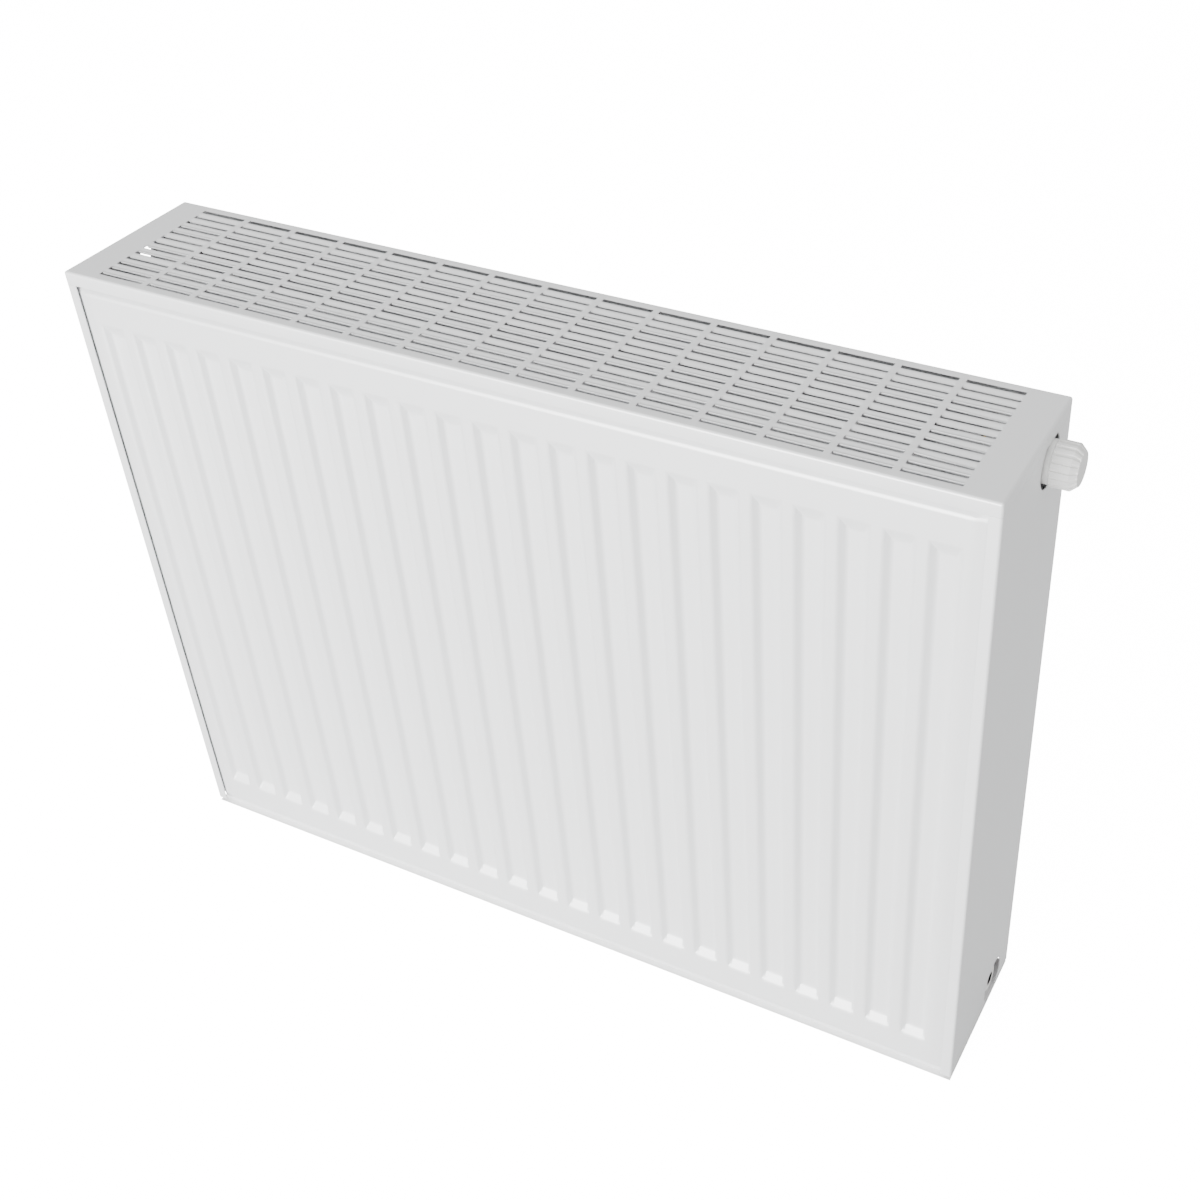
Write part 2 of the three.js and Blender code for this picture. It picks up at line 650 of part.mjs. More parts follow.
// The gland nut guides the pin and holds the spindle seal in a groove.
function glandNut() {
  const groove = GLAND_X + GLAND_LENGTH / 2;
  const grooveHalf = SPINDLE_SEAL_R + FIT;
  const grooveR = PIN_R + 2 * FIT + 2 * SPINDLE_SEAL_R + FIT;
  const hole = PIN_R + FIT;
  const outer = CHAMBER_R - FIT;
  return turned([
    [GLAND_X, hole],
    [GLAND_X, outer],
    [COLLAR_END_X, outer],
    [COLLAR_END_X, hole],
    [groove + grooveHalf, hole],
    [groove + grooveHalf, grooveR],
    [groove - grooveHalf, grooveR],
    [groove - grooveHalf, hole],
    [GLAND_X, hole],
  ]);
}

function spindleSeal() {
  return sealRing(GLAND_X + GLAND_LENGTH / 2, PIN_R + 2 * FIT + SPINDLE_SEAL_R, SPINDLE_SEAL_R);
}

// The presetting dial: a ring with square teeth in front of the collar.
function presetDial() {
  const start = COLLAR_END_X + FIT;
  const end = start + DIAL_THICKNESS;
  let made = solid(rod("x", DIAL_R, start, end, FINE)).subtract(
    solid(rod("x", CHAMBER_R, start - FIT, end + FIT, FINE)),
  );
  const across = [-DIAL_NOTCH_WIDTH / 2, DIAL_NOTCH_WIDTH / 2];
  for (let i = 0; i < DIAL_NOTCHES; i += 1) {
    const notch = block([start - FIT, end + FIT], [DIAL_R - DIAL_NOTCH_DEPTH, DIAL_R + FIT], across);
    made = made.subtract(solid(notch.rotateX((FULL_TURN * i) / DIAL_NOTCHES)));
  }
  return surface(made);
}

// The hand-turned cap: a sleeve over the collar, a ribbed grip and a chamfered nose.
function valveCap() {
  const side = HUB_SIDE_INSET;
  const start = HEAD_X + HEX_THICKNESS + CAP_TRAVEL + 2 * FIT;
  const grip = side + CAP_GRIP_START;
  const gripEnd = grip + CAP_GRIP_LENGTH;
  const nose = gripEnd + CAP_NOSE;
  const cavity = COLLAR_R + FIT;
  const cavityEnd = PIN_TIP_X + FIT + CAP_TRAVEL + CAP_END_WALL;
  const pusher = PIN_TIP_X + FIT;
  let made = solid(
    turned(
      [
        [start, cavity],
        [start, CAP_SLEEVE_R],
        [grip, CAP_SLEEVE_R],
        [grip, CAP_GRIP_R],
        [gripEnd, CAP_GRIP_R],
        [nose, CAP_GRIP_R - CAP_NOSE_TAPER],
        [nose, 0],
        [pusher, 0],
        [pusher, CAP_PUSHER_R],
        [cavityEnd, CAP_PUSHER_R],
        [cavityEnd, cavity],
        [start, cavity],
      ],
      2 * CAP_RIBS,
    ),
  );
  for (let i = 0; i < CAP_RIBS; i += 1) {
    const groove = block(
      [grip - FIT, gripEnd - CAP_RIB_DEPTH],
      [CAP_GRIP_R - CAP_RIB_DEPTH, CAP_GRIP_R + FIT],
      [-CAP_GROOVE_WIDTH / 2, CAP_GROOVE_WIDTH / 2],
    );
    made = made.subtract(solid(groove.rotateX((FULL_TURN * (i + 0.5)) / CAP_RIBS)));
  }
  return surface(made);
}

// ---------------------------------------------------------------------------------------------
// Air vent

function ventPlug() {
  const face = HEAD_X + VENT_HEAD;
  const start = BOSS_LENGTH - PLUG_SHAFT;
  const seat = face - VENT_SCREW_LENGTH - FIT;
  const bore = VENT_SCREW_R + FIT;
  return turned([
    [start, VENT_PASSAGE_R],
    [start, THREAD_R],
    [HEAD_X, THREAD_R],
    [HEAD_X, BOSS_R],
    [face, BOSS_R],
    [face, bore],
    [seat, bore],
    [seat, VENT_PASSAGE_R],
    [start, VENT_PASSAGE_R],
  ]);
}

function bleedScrew() {
  const face = HEAD_X + VENT_HEAD;
  const shaft = rod("x", VENT_SCREW_R, face - VENT_SCREW_LENGTH, face + FIT, COARSE);
  const head = rod("x", VENT_KEY_R, face + FIT, face + FIT + VENT_KEY_LENGTH, 4);
  return surface(solid(shaft).add(solid(head)));
}

// The nozzle ring turns on the vent plug, so that its spout can point down.
function ventNozzle() {
  const start = HEAD_X + VENT_HEAD + FIT;
  const end = start + NOZZLE_THICKNESS;
  const spout = rod("z", SPOUT_R, -NOZZLE_R - SPOUT_REACH, -NOZZLE_BORE_R - CHAMFER, COARSE);
  const passage = rod("z", SPOUT_BORE_R, -NOZZLE_R - 2 * SPOUT_REACH, 0, COARSE);
  return surface(
    solid(rod("x", NOZZLE_R, start, end, FINE))
      .add(solid(spout.translate((start + end) / 2, 0, 0)))
      .subtract(solid(passage.translate((start + end) / 2, 0, 0)))
      .subtract(solid(rod("x", NOZZLE_BORE_R, start - FIT, end + FIT, FINE))),
  );
}

// ---------------------------------------------------------------------------------------------
// Lugs and saddles

// A strap welded to the rear panel, for a wall hook; its feet stand on y = 0.
function hangingLug() {
  const foot = LUG_WALL / 2;
  const strap = LUG_STAND + LUG_WALL / 2;
  const path = [
    [-LUG_HALF_SPAN - LUG_LEAN - LUG_FOOT, foot],
    [-LUG_HALF_SPAN - LUG_LEAN, foot],
    [-LUG_HALF_SPAN, strap],
    [LUG_HALF_SPAN, strap],
    [LUG_HALF_SPAN + LUG_LEAN, foot],
    [LUG_HALF_SPAN + LUG_LEAN + LUG_FOOT, foot],
  ].map(([x, y]) => new THREE.Vector2(x, y));
  const geometry = new THREE.ExtrudeGeometry(foldedSheet(path, LUG_WALL), {
    depth: LUG_HEIGHT,
    bevelEnabled: false,
  });
  return geometry.translate(0, 0, -LUG_HEIGHT / 2);
}

// A saddle on a panel's top seam, which carries the grille; y = 0 is the panel's middle plane.
function grilleSaddle() {
  const seamHalf = SHEET + WELD_GAP / 2 + FIT;
  const half = SADDLE_LENGTH / 2;
  const span = [-half, half];
  const body = block(
    span,
    [-SADDLE_DEPTH / 2, SADDLE_DEPTH / 2],
    [SEAM_TOP_Z - SADDLE_SKIRT, HEIGHT - COVER_WALL - FIT],
  );
  const slot = block(
    [-half - FIT, half + FIT],
    [-seamHalf, seamHalf],
    [SEAM_TOP_Z - 2 * SADDLE_SKIRT, SEAM_TOP_Z + FIT],
  );
  return surface(solid(body).subtract(solid(slot)));
}

// ---------------------------------------------------------------------------------------------
// Finishes

function finish(color, roughness, metalness) {
  return () => new THREE.MeshStandardMaterial({ color, roughness, metalness });
}
const powderCoat = finish(0xf1f2f2, 0.38, 0);
const primedSteel = finish(0xd9dbdc, 0.5, 0);
const whitePlastic = finish(0xf4f4f2, 0.42, 0);
const brass = finish(0xc9a55a, 0.32, 1);
const steel = finish(0xb9bcc0, 0.35, 1);
const rubber = finish(0x1c1c1e, 0.8, 0);

// ---------------------------------------------------------------------------------------------
// Assembly

const radiator = new THREE.Group();
radiator.name = "radiator_with_valve";
const casing = new THREE.Group();
casing.position.set((SIDE_X - CAP_END_X) / 2, -LUG_BACK_Y / 2, 0);
radiator.add(casing);

function place(name, geometry, material, [x, y, z] = [0, 0, 0], turn = 0) {
  const mesh = new THREE.Mesh(geometry, material());
  mesh.name = name;
  mesh.position.set(x, y, z);
  mesh.rotation.z = turn;
  casing.add(mesh);
}

const HALF_TURN = Math.PI;
const panels = [
  { name: "front_panel", y: FRONT_PANEL_Y, seam: SEAM_WIDTH_X, holes: [false, true] },
  { name: "middle_panel", y: MIDDLE_PANEL_Y, seam: SEAM_WIDTH_X, holes: [true, true] },
  { name: "rear_panel", y: REAR_PANEL_Y, seam: REAR_SEAM_WIDTH_X, holes: [true, false] },
];
for (const { name, y, seam, holes } of panels) {
  const front = pressedSheet(holes[0], seam);
  const rear = pressedSheet(holes[1], seam);
  place(`${name}_front_sheet`, front, powderCoat, [0, y, 0]);
  place(`${name}_rear_sheet`, rear, powderCoat, [0, y + PANEL_DEPTH, 0], HALF_TURN);
}

const finLeftX = -HUB_X + TUBE_R + FIN_HUB_GAP;
const finRightX = HUB_X - TUBE_R - FIN_HUB_GAP;
const finRiserX = FLOW_X - RISER_ROOM;
const behindFront = FRONT_PANEL_Y + PANEL_DEPTH + FIT;
const behindMiddle = MIDDLE_PANEL_Y + PANEL_DEPTH + FIT;
place("front_convector", convector(finLeftX, finRightX), primedSteel, [0, behindFront, 0]);
place("middle_convector", convector(finLeftX, finRiserX), primedSteel, [0, behindMiddle, 0]);
const beforeRear = REAR_PANEL_Y - FIT;
place("rear_convector", convector(-finRiserX, -finLeftX), primedSteel, [0, beforeRear, 0], HALF_TURN);

const corners = [
  { name: "valve", x: HUB_X, z: HUB_TOP_Z, turn: 0, options: { riserInlet: true } },
  { name: "return", x: HUB_X, z: HUB_BOTTOM_Z, turn: 0, options: { bottomOutlet: true } },
  { name: "vent", x: -HUB_X, z: HUB_TOP_Z, turn: HALF_TURN, options: {} },
  { name: "left_bottom", x: -HUB_X, z: HUB_BOTTOM_Z, turn: HALF_TURN, options: {} },
];
for (const { name, x, z, turn, options } of corners) {
  place(`${name}_tee`, tee(options), primedSteel, [x, HUB_Y, z], turn);
  const link = linkTube(MIDDLE_PANEL_Y - FRONT_PANEL_Y - PANEL_DEPTH);
  place(`${name}_link_tube`, link, primedSteel, [x, FRONT_PANEL_Y + PANEL_DEPTH, z]);
}

place("return_nipple", returnNipple(), steel, [HUB_X, HUB_Y, HUB_BOTTOM_Z]);
place("flow_nipple", flowNipple(), steel, [FLOW_X, HUB_Y, 0]);
const riser = riserPipe(HUB_TOP_Z - HUB_BOTTOM_Z, OUTLET_SPACING - TUBE_R - FIT);
place("riser_pipe", riser, primedSteel, [FLOW_X, HUB_Y, HUB_BOTTOM_Z]);

place("top_grille", topGrille(), powderCoat, [0, 0, HEIGHT]);
place("right_side_cover", sideCover(HUB_Y), powderCoat);
place("left_side_cover", sideCover(COVER_DEPTH - HUB_Y), powderCoat, [0, COVER_DEPTH, 0], HALF_TURN);

const valveAt = [HUB_X, HUB_Y, HUB_TOP_Z];
const ventAt = [-HUB_X, HUB_Y, HUB_TOP_Z];
place("valve_insert", valveInsert(), brass, valveAt);
place("valve_insert_seal", plugSeal(), rubber, valveAt);
place("valve_washer", valveWasher(), rubber, valveAt);
place("valve_pin", valvePin(), steel, valveAt);
place("valve_spring", valveSpring(), steel, valveAt);
place("gland_nut", glandNut(), brass, valveAt);
place("spindle_seal", spindleSeal(), rubber, valveAt);
place("preset_dial", presetDial(), whitePlastic, valveAt);
place("valve_cap", valveCap(), whitePlastic, valveAt);
place("right_blank_plug", blankPlug(), whitePlastic, [HUB_X, HUB_Y, HUB_BOTTOM_Z]);
place("right_plug_seal", plugSeal(), rubber, [HUB_X, HUB_Y, HUB_BOTTOM_Z]);
place("left_blank_plug", blankPlug(), whitePlastic, [-HUB_X, HUB_Y, HUB_BOTTOM_Z], HALF_TURN);
place("left_plug_seal", plugSeal(), rubber, [-HUB_X, HUB_Y, HUB_BOTTOM_Z], HALF_TURN);
place("vent_plug", ventPlug(), steel, ventAt, HALF_TURN);
place("vent_plug_seal", plugSeal(), rubber, ventAt, HALF_TURN);
place("bleed_screw", bleedScrew(), brass, ventAt, HALF_TURN);
place("vent_nozzle", ventNozzle(), whitePlastic, ventAt, HALF_TURN);

for (const [side, x] of [["left", -LUG_X], ["right", LUG_X]]) {
  const ends = [["top", SEAM_TOP_Z - LUG_END_INSET], ["bottom", LUG_END_INSET]];
  for (const [end, z] of ends) {
    place(`hanging_lug_${side}_${end}`, hangingLug(), powderCoat, [x, BACK_Y + FIT, z]);
  }
}

for (const [side, x] of [["left", -SADDLE_X], ["right", SADDLE_X]]) {
  for (const [name, y] of [["front", FRONT_PANEL_Y], ["middle", MIDDLE_PANEL_Y]]) {
    place(`grille_saddle_${side}_${name}`, grilleSaddle(), whitePlastic, [x, y + PANEL_DEPTH / 2, 0]);
  }
}

export default radiator;
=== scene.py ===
import json
import math

import bmesh
import bpy
from bpy.props import FloatProperty, FloatVectorProperty, IntProperty, PointerProperty
from mathutils import Matrix, Vector


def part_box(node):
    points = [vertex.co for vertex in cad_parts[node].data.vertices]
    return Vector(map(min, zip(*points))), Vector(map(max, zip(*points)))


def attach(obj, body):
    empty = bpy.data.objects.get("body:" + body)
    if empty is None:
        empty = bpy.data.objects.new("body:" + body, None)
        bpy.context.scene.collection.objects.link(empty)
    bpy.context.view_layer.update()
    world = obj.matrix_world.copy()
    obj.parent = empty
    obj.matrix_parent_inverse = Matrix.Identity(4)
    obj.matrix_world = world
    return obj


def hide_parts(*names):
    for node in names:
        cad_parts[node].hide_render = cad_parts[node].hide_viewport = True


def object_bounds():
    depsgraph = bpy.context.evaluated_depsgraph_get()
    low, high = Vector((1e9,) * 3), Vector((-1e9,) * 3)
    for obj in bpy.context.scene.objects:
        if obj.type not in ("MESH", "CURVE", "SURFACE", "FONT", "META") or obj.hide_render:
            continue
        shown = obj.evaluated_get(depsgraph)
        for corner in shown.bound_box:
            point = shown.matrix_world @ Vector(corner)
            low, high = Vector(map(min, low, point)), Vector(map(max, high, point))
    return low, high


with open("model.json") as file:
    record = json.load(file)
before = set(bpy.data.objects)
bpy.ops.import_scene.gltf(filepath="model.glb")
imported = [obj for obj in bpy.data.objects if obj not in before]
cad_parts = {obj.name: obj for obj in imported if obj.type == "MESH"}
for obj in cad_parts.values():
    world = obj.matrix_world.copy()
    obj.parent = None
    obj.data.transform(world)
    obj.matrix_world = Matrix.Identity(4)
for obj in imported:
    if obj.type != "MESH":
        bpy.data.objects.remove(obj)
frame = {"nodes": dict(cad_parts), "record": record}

bl_info = {
    "name": "Panel Radiator",
    "version": (1, 0, 0),
    "blender": (4, 5, 0),
    "location": "3D View > Sidebar > Radiator",
    "description": "Builds a white steel panel radiator with a built-in valve around its packed frame",
    "category": "Add Mesh",
}

CAD_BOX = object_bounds()
TOLERANCE = 1e-6
SMOOTH_ANGLE = math.radians(38)
ALONG_X = Vector((1, 0, 0))
ALONG_Z = Vector((0, 0, 1))
SLAT_CREST = 0.75  # where a slat is highest, as a share of its depth
SLAT_STATIONS = (0.0, 0.09, 0.22, 0.38, 0.56, 0.74, 0.9, 1.0)
STEPS_PER_RIB = 4
SHORTEST_EDGE = 0.0001
HEXAGON_SIDES = 6


# ---------------------------------------------------------------------------------------------
# Sizes and colours that a user may change


def length(name, description, default):
    return FloatProperty(name=name, description=description, default=default, unit="LENGTH", precision=5)


def colour(name, description, default):
    return FloatVectorProperty(name=name, description=description, default=default, subtype="COLOR")


def share(name, description, default):
    return FloatProperty(name=name, description=description, default=default, subtype="FACTOR")


class PanelSizes(bpy.types.PropertyGroup):
    """Pressed sheets of the water panels."""

    wall: length("Sheet", "Thickness of the pressed sheet", 0.00125)
    seam_x: length("Side seam", "Width of the welded seam at each side", 0.0023)
    rear_seam_x: length("Rear panel's side seam", "The same on the rear panel", 0.0075)
    seam_z: length("End seam", "Width of the welded seam at the top and bottom", 0.0055)
    side_slope: length("Side slope", "Run of the steep slope at each side", 0.0032)
    end_slope: length("End slope", "Run of the slope at the top and bottom", 0.0062)
    face_inset: length("Face inset", "From a panel's side to its face", 0.0156)
    shoulder_drop: length("Shoulder drop", "How far the sides of the face fall away", 0.0016)
    pitch: length("Flute pitch", "Distance between flutes", 0.033)
    floor: length("Flute floor", "Width of a flute's floor", 0.0144)
    side: length("Flute side", "Run of a flute's side walls", 0.0043)
    end: length("Flute end", "Run of a flute's end walls", 0.010)
    side_margin: length("Side margin", "Least distance from the casing's side to a flute", 0.034)
    top: length("Flute top", "From the casing's top to the flutes' ends", 0.044)
    bottom: length("Flute bottom", "From the seams' bottom to the flutes' ends", 0.038)
    radius: length("Press radius", "Rounding of the pressed edges", 0.0021)


class ConvectorSizes(bpy.types.PropertyGroup):
    """Folded fins between the panels."""

    wall: length("Sheet", "Thickness of the folded sheet", 0.0006)
    pitch: length("Fold pitch", "Distance between equal folds", 0.033)
    foot: length("Foot", "Flat part of each fold", 0.012)
    radius: length("Fold radius", "Rounding of the folds", 0.0016)


class GrilleSizes(bpy.types.PropertyGroup):
    """Slotted grille on top of the casing."""

    wall: length("Sheet", "Thickness of the sheet", 0.0008)
    bend: length("Bend", "Radius of the folded edges", 0.0022)
    pitch_x: length("Column pitch", "Distance between slots in a row", 0.0496)
    bar: length("Crossbar", "Width of the bar between two slots in a row", 0.0053)
    end_margin: length("End margin", "Least plain sheet at each end", 0.028)
    pitch_y: length("Row pitch", "Distance between rows", 0.0104)
    slot: length("Slot", "Width of a slot", 0.004)
    edge_margin: length("Edge margin", "Least plain sheet at the front and back", 0.006)
    front_drop: length("Front drop", "How far a slat's front edge curls down", 0.0016)
    rear_drop: length("Rear drop", "How far a slat's rear edge curls down", 0.0004)
    step: length("Crossbar step", "Run from a crossbar down onto a slat", 0.0012)


class CoverSizes(bpy.types.PropertyGroup):
    """Side covers."""

    wall: length("Sheet", "Thickness of the sheet", 0.001)
    bend: length("Bend", "Radius of the folded edges", 0.0022)
    opening: length("Opening", "Radius of the opening around a connection", 0.0205)
    bead: length("Bead", "Rounding of the sheet's cut edges", 0.0002)


class LugSizes(bpy.types.PropertyGroup):
    """Hanging lugs."""

    wall: length("Sheet", "Thickness of the strap", 0.002)
    lean: length("Lean", "Run of the strap's sloping parts", 0.002)
    foot: length("Foot", "Length of each welded foot", 0.012)
    radius: length("Fold radius", "Rounding of the folds", 0.0014)


class CapSizes(bpy.types.PropertyGroup):
    """Valve cap."""

    ribs: IntProperty(name="Ribs", description="Ribs around the cap", default=18, min=6, max=36)
    grip: length("Grip", "Radius of the cap's grip", 0.0172)
    sleeve: length("Sleeve", "Radius of the cap's sleeve", 0.0162)
    bore: length("Bore", "Radius of the cap's bore", 0.0151)
    grip_length: length("Grip length", "Length of the ribbed grip", 0.014)
    nose: length("Nose", "Length of the chamfered nose", 0.005)
    nose_radius: length("Nose radius", "Radius at the end of the nose", 0.0128)
    groove: length("Groove", "Depth of the grooves between ribs", 0.0014)
    groove_wall: length("Groove wall", "Run of a groove's walls", 0.0003)
    flat: length("Shoulder", "Run of the shoulder from the sleeve up to the grip", 0.0006)
    inner_step: length("Inner step", "From the end of the grip back to the bore's floor", 0.004)
    rounding: length("Rounding", "Rounding of the cap's edges", 0.00035)


class PlugSizes(bpy.types.PropertyGroup):
    """Blank plugs."""

    key: length("Key", "Radius of the hexagon socket", 0.007)
    key_depth: length("Key depth", "Depth of the hexagon socket", 0.004)
    head: length("Head", "Thickness of the head", 0.0067)
    rim: length("Rim", "Rounding of the head's rim", 0.0035)
    neck: length("Neck", "Radius of the shaft", 0.0104)
    rounding: length("Rounding", "Rounding of the other edges", 0.0003)


class VentSizes(bpy.types.PropertyGroup):
    """Vent plug and its nozzle ring."""

    head: length("Head", "Thickness of the plug's head", 0.004)
    neck: length("Neck", "Radius of the plug's shaft", 0.0104)
    passage: length("Passage", "Radius of the plug's air passage", 0.0033)
    bore: length("Ring bore", "Radius of the nozzle ring's bore", 0.005)
    groove_width: length("Groove width", "Half width of the ring's groove", 0.0006)
    groove_depth: length("Groove depth", "Depth of the ring's groove", 0.0005)
    spout: length("Spout", "Outer radius of the spout", 0.0016)
    spout_bore: length("Spout bore", "Inner radius of the spout", 0.0008)
    spout_root: length("Spout root", "How far the spout starts outside the ring's bore", 0.001)
    rounding: length("Rounding", "Rounding of the turned edges", 0.0004)
    spout_rounding: length("Spout rounding", "Rounding of the spout's edges", 0.0002)


class NippleSizes(bpy.types.PropertyGroup):
    """Flow nipple."""

    bore: length("Bore", "Radius of the bore", 0.0078)
    pitch: length("Thread pitch", "Pitch of the thread", 0.0018)
    depth: length("Thread depth", "Depth of the thread", 0.0011)
    crest: length("Crest", "Half width of a thread ridge's crest", 0.0001)
    lead_in: length("Lead-in", "From the nipple's end up to the thread", 0.0006)
    reach: length("Thread reach", "From the nipple's end up to the end of the thread", 0.010)
    collar: length("Collar", "Least plain part above the thread", 0.002)
    run_out: length("Run-out", "Run from the thread's root up to the collar", 0.0004)


class Finishes(bpy.types.PropertyGroup):
    """Colours and textures of the materials."""

    powder: colour("Powder coat", "Colour of the coated casing and panels", (0.82, 0.835, 0.865))
    powder_shade: colour("Powder shade", "Its colour where the coat is thin", (0.79, 0.805, 0.835))
    # Convector greys: part primer and dust, and darkened further as painted shade for the shadow deep
    # between the panels.
    primer_with_painted_shade: colour("Primer", "Colour of the primed convectors", (0.30, 0.31, 0.32))
    dust_with_painted_shade: colour("Primer shade", "Its colour where dust lies", (0.24, 0.24, 0.24))
    plastic: colour("Plastic", "Colour of the cap and plugs", (0.88, 0.885, 0.885))
    plastic_shade: colour("Plastic shade", "Flow marks in the plastic", (0.84, 0.845, 0.84))
    brass: colour("Brass", "Colour of the brass pieces", (0.70, 0.51, 0.24))
    brass_shade: colour("Brass shade", "Tarnish on the brass", (0.50, 0.34, 0.14))
    zinc: colour("Zinc", "Colour of the plated steel", (0.58, 0.59, 0.61))
    zinc_shade: colour("Zinc shade", "Darker crystals of the plating", (0.44, 0.45, 0.47))
    rubber: colour("Rubber", "Colour of the seals", (0.025, 0.025, 0.027))
    rubber_shade: colour("Rubber shade", "Bloom on the seals", (0.06, 0.06, 0.06))


class StageSettings(bpy.types.PropertyGroup):
    """Floor, light and camera."""

    floor: share("Floor", "Tone of the floor", 0.9)
    glow: FloatProperty(name="Floor glow", description="Light of the backlit floor", default=15.0)
    sky: FloatProperty(name="Sky", description="Strength of the light all round", default=1.15)
    key: FloatProperty(
        name="Key light",
        description="Power of the front light",
        default=310.0,
        unit="POWER",
    )
    key_place: FloatVectorProperty(
        name="Key place",
        description="Where the front light stands",
        default=(-0.6, -3.2, 0.9),
        subtype="TRANSLATION",
        unit="LENGTH",
    )
    key_width: length("Key width", "Width of the front light", 2.4)
    key_height: length("Key height", "Height of the front light", 1.6)
    floor_half: length("Floor half", "Half the side of the floor", 12.0)
    bounce_drop: length("Bounce drop", "How far the lighting floor lies below the seen one", 0.001)
    shade_rise: length("Shade rise", "Height of the dark card below the radiator", 0.0002)
    shade_inset: length("Shade inset", "From the grille's outline in to that card", 0.0005)
    camera_place: FloatVectorProperty(
        name="Camera place",
        description="Where the camera stands",
        default=(0.6358, -0.9325, 1.2070),
        subtype="TRANSLATION",
        unit="LENGTH",
    )
    camera_turn: FloatVectorProperty(
        name="Camera turn",
        description="How the camera is turned",
        default=(0.90624, 0.02562, 0.46510),
        subtype="EULER",
        unit="ROTATION",
    )
    lens: FloatProperty(name="Lens", description="Focal length in millimetres", default=49.97)
    shift_x: FloatProperty(name="Shift across", description="Camera shift across", default=-0.1057)
    shift_y: FloatProperty(name="Shift up", description="Camera shift upwards", default=0.0032)


class RadiatorSettings(bpy.types.PropertyGroup):
    """All of the radiator's settings."""

    panels: PointerProperty(type=PanelSizes)
    convectors: PointerProperty(type=ConvectorSizes)
    grille: PointerProperty(type=GrilleSizes)
    covers: PointerProperty(type=CoverSizes)
    lugs: PointerProperty(type=LugSizes)
    cap: PointerProperty(type=CapSizes)
    plugs: PointerProperty(type=PlugSizes)
    vent: PointerProperty(type=VentSizes)
    nipple: PointerProperty(type=NippleSizes)
    finishes: PointerProperty(type=Finishes)
    stage: PointerProperty(type=StageSettings)


# ---------------------------------------------------------------------------------------------
# Shader trees


class Wire:
    """A node's output that takes part in Python arithmetic by adding Math nodes."""

    def __init__(self, finish, socket):
        self.finish = finish
        self.socket = socket

    def maths(self, operation, first, second):
        node = self.finish.node("ShaderNodeMath", {"operation": operation}, {0: first, 1: second})
        return Wire(self.finish, node.outputs[0])

    def __add__(self, other):
        return self.maths("ADD", self, other)

    def __radd__(self, other):
        return self.maths("ADD", other, self)

    def __sub__(self, other):
        return self.maths("SUBTRACT", self, other)

    def __rsub__(self, other):
        return self.maths("SUBTRACT", other, self)

    def __mul__(self, other):
        return self.maths("MULTIPLY", self, other)

    def __rmul__(self, other):
        return self.maths("MULTIPLY", other, self)


class Finish:
    """One procedural material: its surface shader, and a method that adds any other node."""

    def __init__(self, name):
        self.material = bpy.data.materials.new(name)
        self.material.use_nodes = True
        self.tree = self.material.node_tree
        self.shader = self.tree.nodes["Principled BSDF"]
        place = self.node("ShaderNodeTexCoord")
        self.place = Wire(self, place.outputs["Object"])

    def node(self, kind, settings=None, sockets=None):
        made = self.tree.nodes.new(kind)
        for name, value in (settings or {}).items():
            if name == "stops":
                self.set_stops(made.color_ramp, value)
            else:
                setattr(made, name, value)
        for name, value in (sockets or {}).items():
            self.feed(made.inputs[name], value)
        return made

    def set_stops(self, ramp, stops):
        for element, (position, value) in zip(ramp.elements, stops):
            element.position = position
            element.color = (value, value, value, 1)

    def feed(self, socket, value):
        if isinstance(value, Wire):
            self.tree.links.new(value.socket, socket)
        else:
            socket.default_value = value

    def surface(self, **values):
        for name, value in values.items():
            self.feed(self.shader.inputs[name.replace("_", " ")], value)

    def noise(self, scale, detail=2.0, stretch=(1, 1, 1)):
        mapped = self.node("ShaderNodeMapping", None, {"Vector": self.place, "Scale": stretch})
        place = Wire(self, mapped.outputs[0])
        made = self.node("ShaderNodeTexNoise", None, {"Vector": place, "Scale": scale, "Detail": detail})
        return Wire(self, made.outputs[0])

    def cells(self, scale):
        made = self.node("ShaderNodeTexVoronoi", None, {"Vector": self.place, "Scale": scale})
        return Wire(self, made.outputs["Distance"])

    def ramp(self, value, start, end):
        stops = [(start, 0.0), (end, 1.0)]
        made = self.node("ShaderNodeValToRGB", {"stops": stops}, {0: value})
        return Wire(self, made.outputs[0])

    def mixed(self, factor, first, second):
        sockets = {0: factor, 6: (*first, 1), 7: (*second, 1)}
        made = self.node("ShaderNodeMix", {"data_type": "RGBA"}, sockets)
        return Wire(self, made.outputs[2])

    def bump(self, height, strength, distance):
        sockets = {"Height": height, "Strength": strength, "Distance": distance}
        made = self.node("ShaderNodeBump", None, sockets)
        return Wire(self, made.outputs[0])


def powder_coat(colours):
    """Satin powder coat: a fine orange peel, with a faint change of tone where the coat thins."""
    finish = Finish("white_powder_coat")
    thin = finish.ramp(finish.noise(7.0, 3.0), 0.35, 0.72)
    peel = finish.noise(620.0, 2.0)
    grain = finish.noise(2600.0, 1.0)
    finish.surface(
        Base_Color=finish.mixed(thin, colours.powder, colours.powder_shade),
        Roughness=0.33 + 0.10 * thin + 0.06 * grain,
        Coat_Roughness=0.25,
        IOR=1.5,
        Normal=finish.bump(peel + 0.25 * grain, 0.16, 0.0002),
    )
    finish.shader.inputs["Coat Weight"].default_value = 0.12
    return finish.material


def primed_steel(colours):
    """Dip-primed and thinly coated steel inside the casing, matt and a little dusty. Its dark grey tones
    are also painted shade: they stand for the shadow deep between the white panels.
    """
    finish = Finish("primed_steel")
    dust = finish.ramp(finish.noise(24.0, 5.0), 0.38, 0.70)
    runs = finish.noise(60.0, 2.0, (1, 1, 0.12))
    finish.surface(
        # Painted shade: both dark greys stand for the shadow between the panels, and dust varies between
        # them.
        Base_Color=finish.mixed(0.7 * dust + 0.3 * runs, colours.primer_with_painted_shade, colours.dust_with_painted_shade),
        Roughness=0.46 + 0.22 * dust,
        Normal=finish.bump(finish.noise(900.0, 2.0), 0.2, 0.0002),
    )
    return finish.material


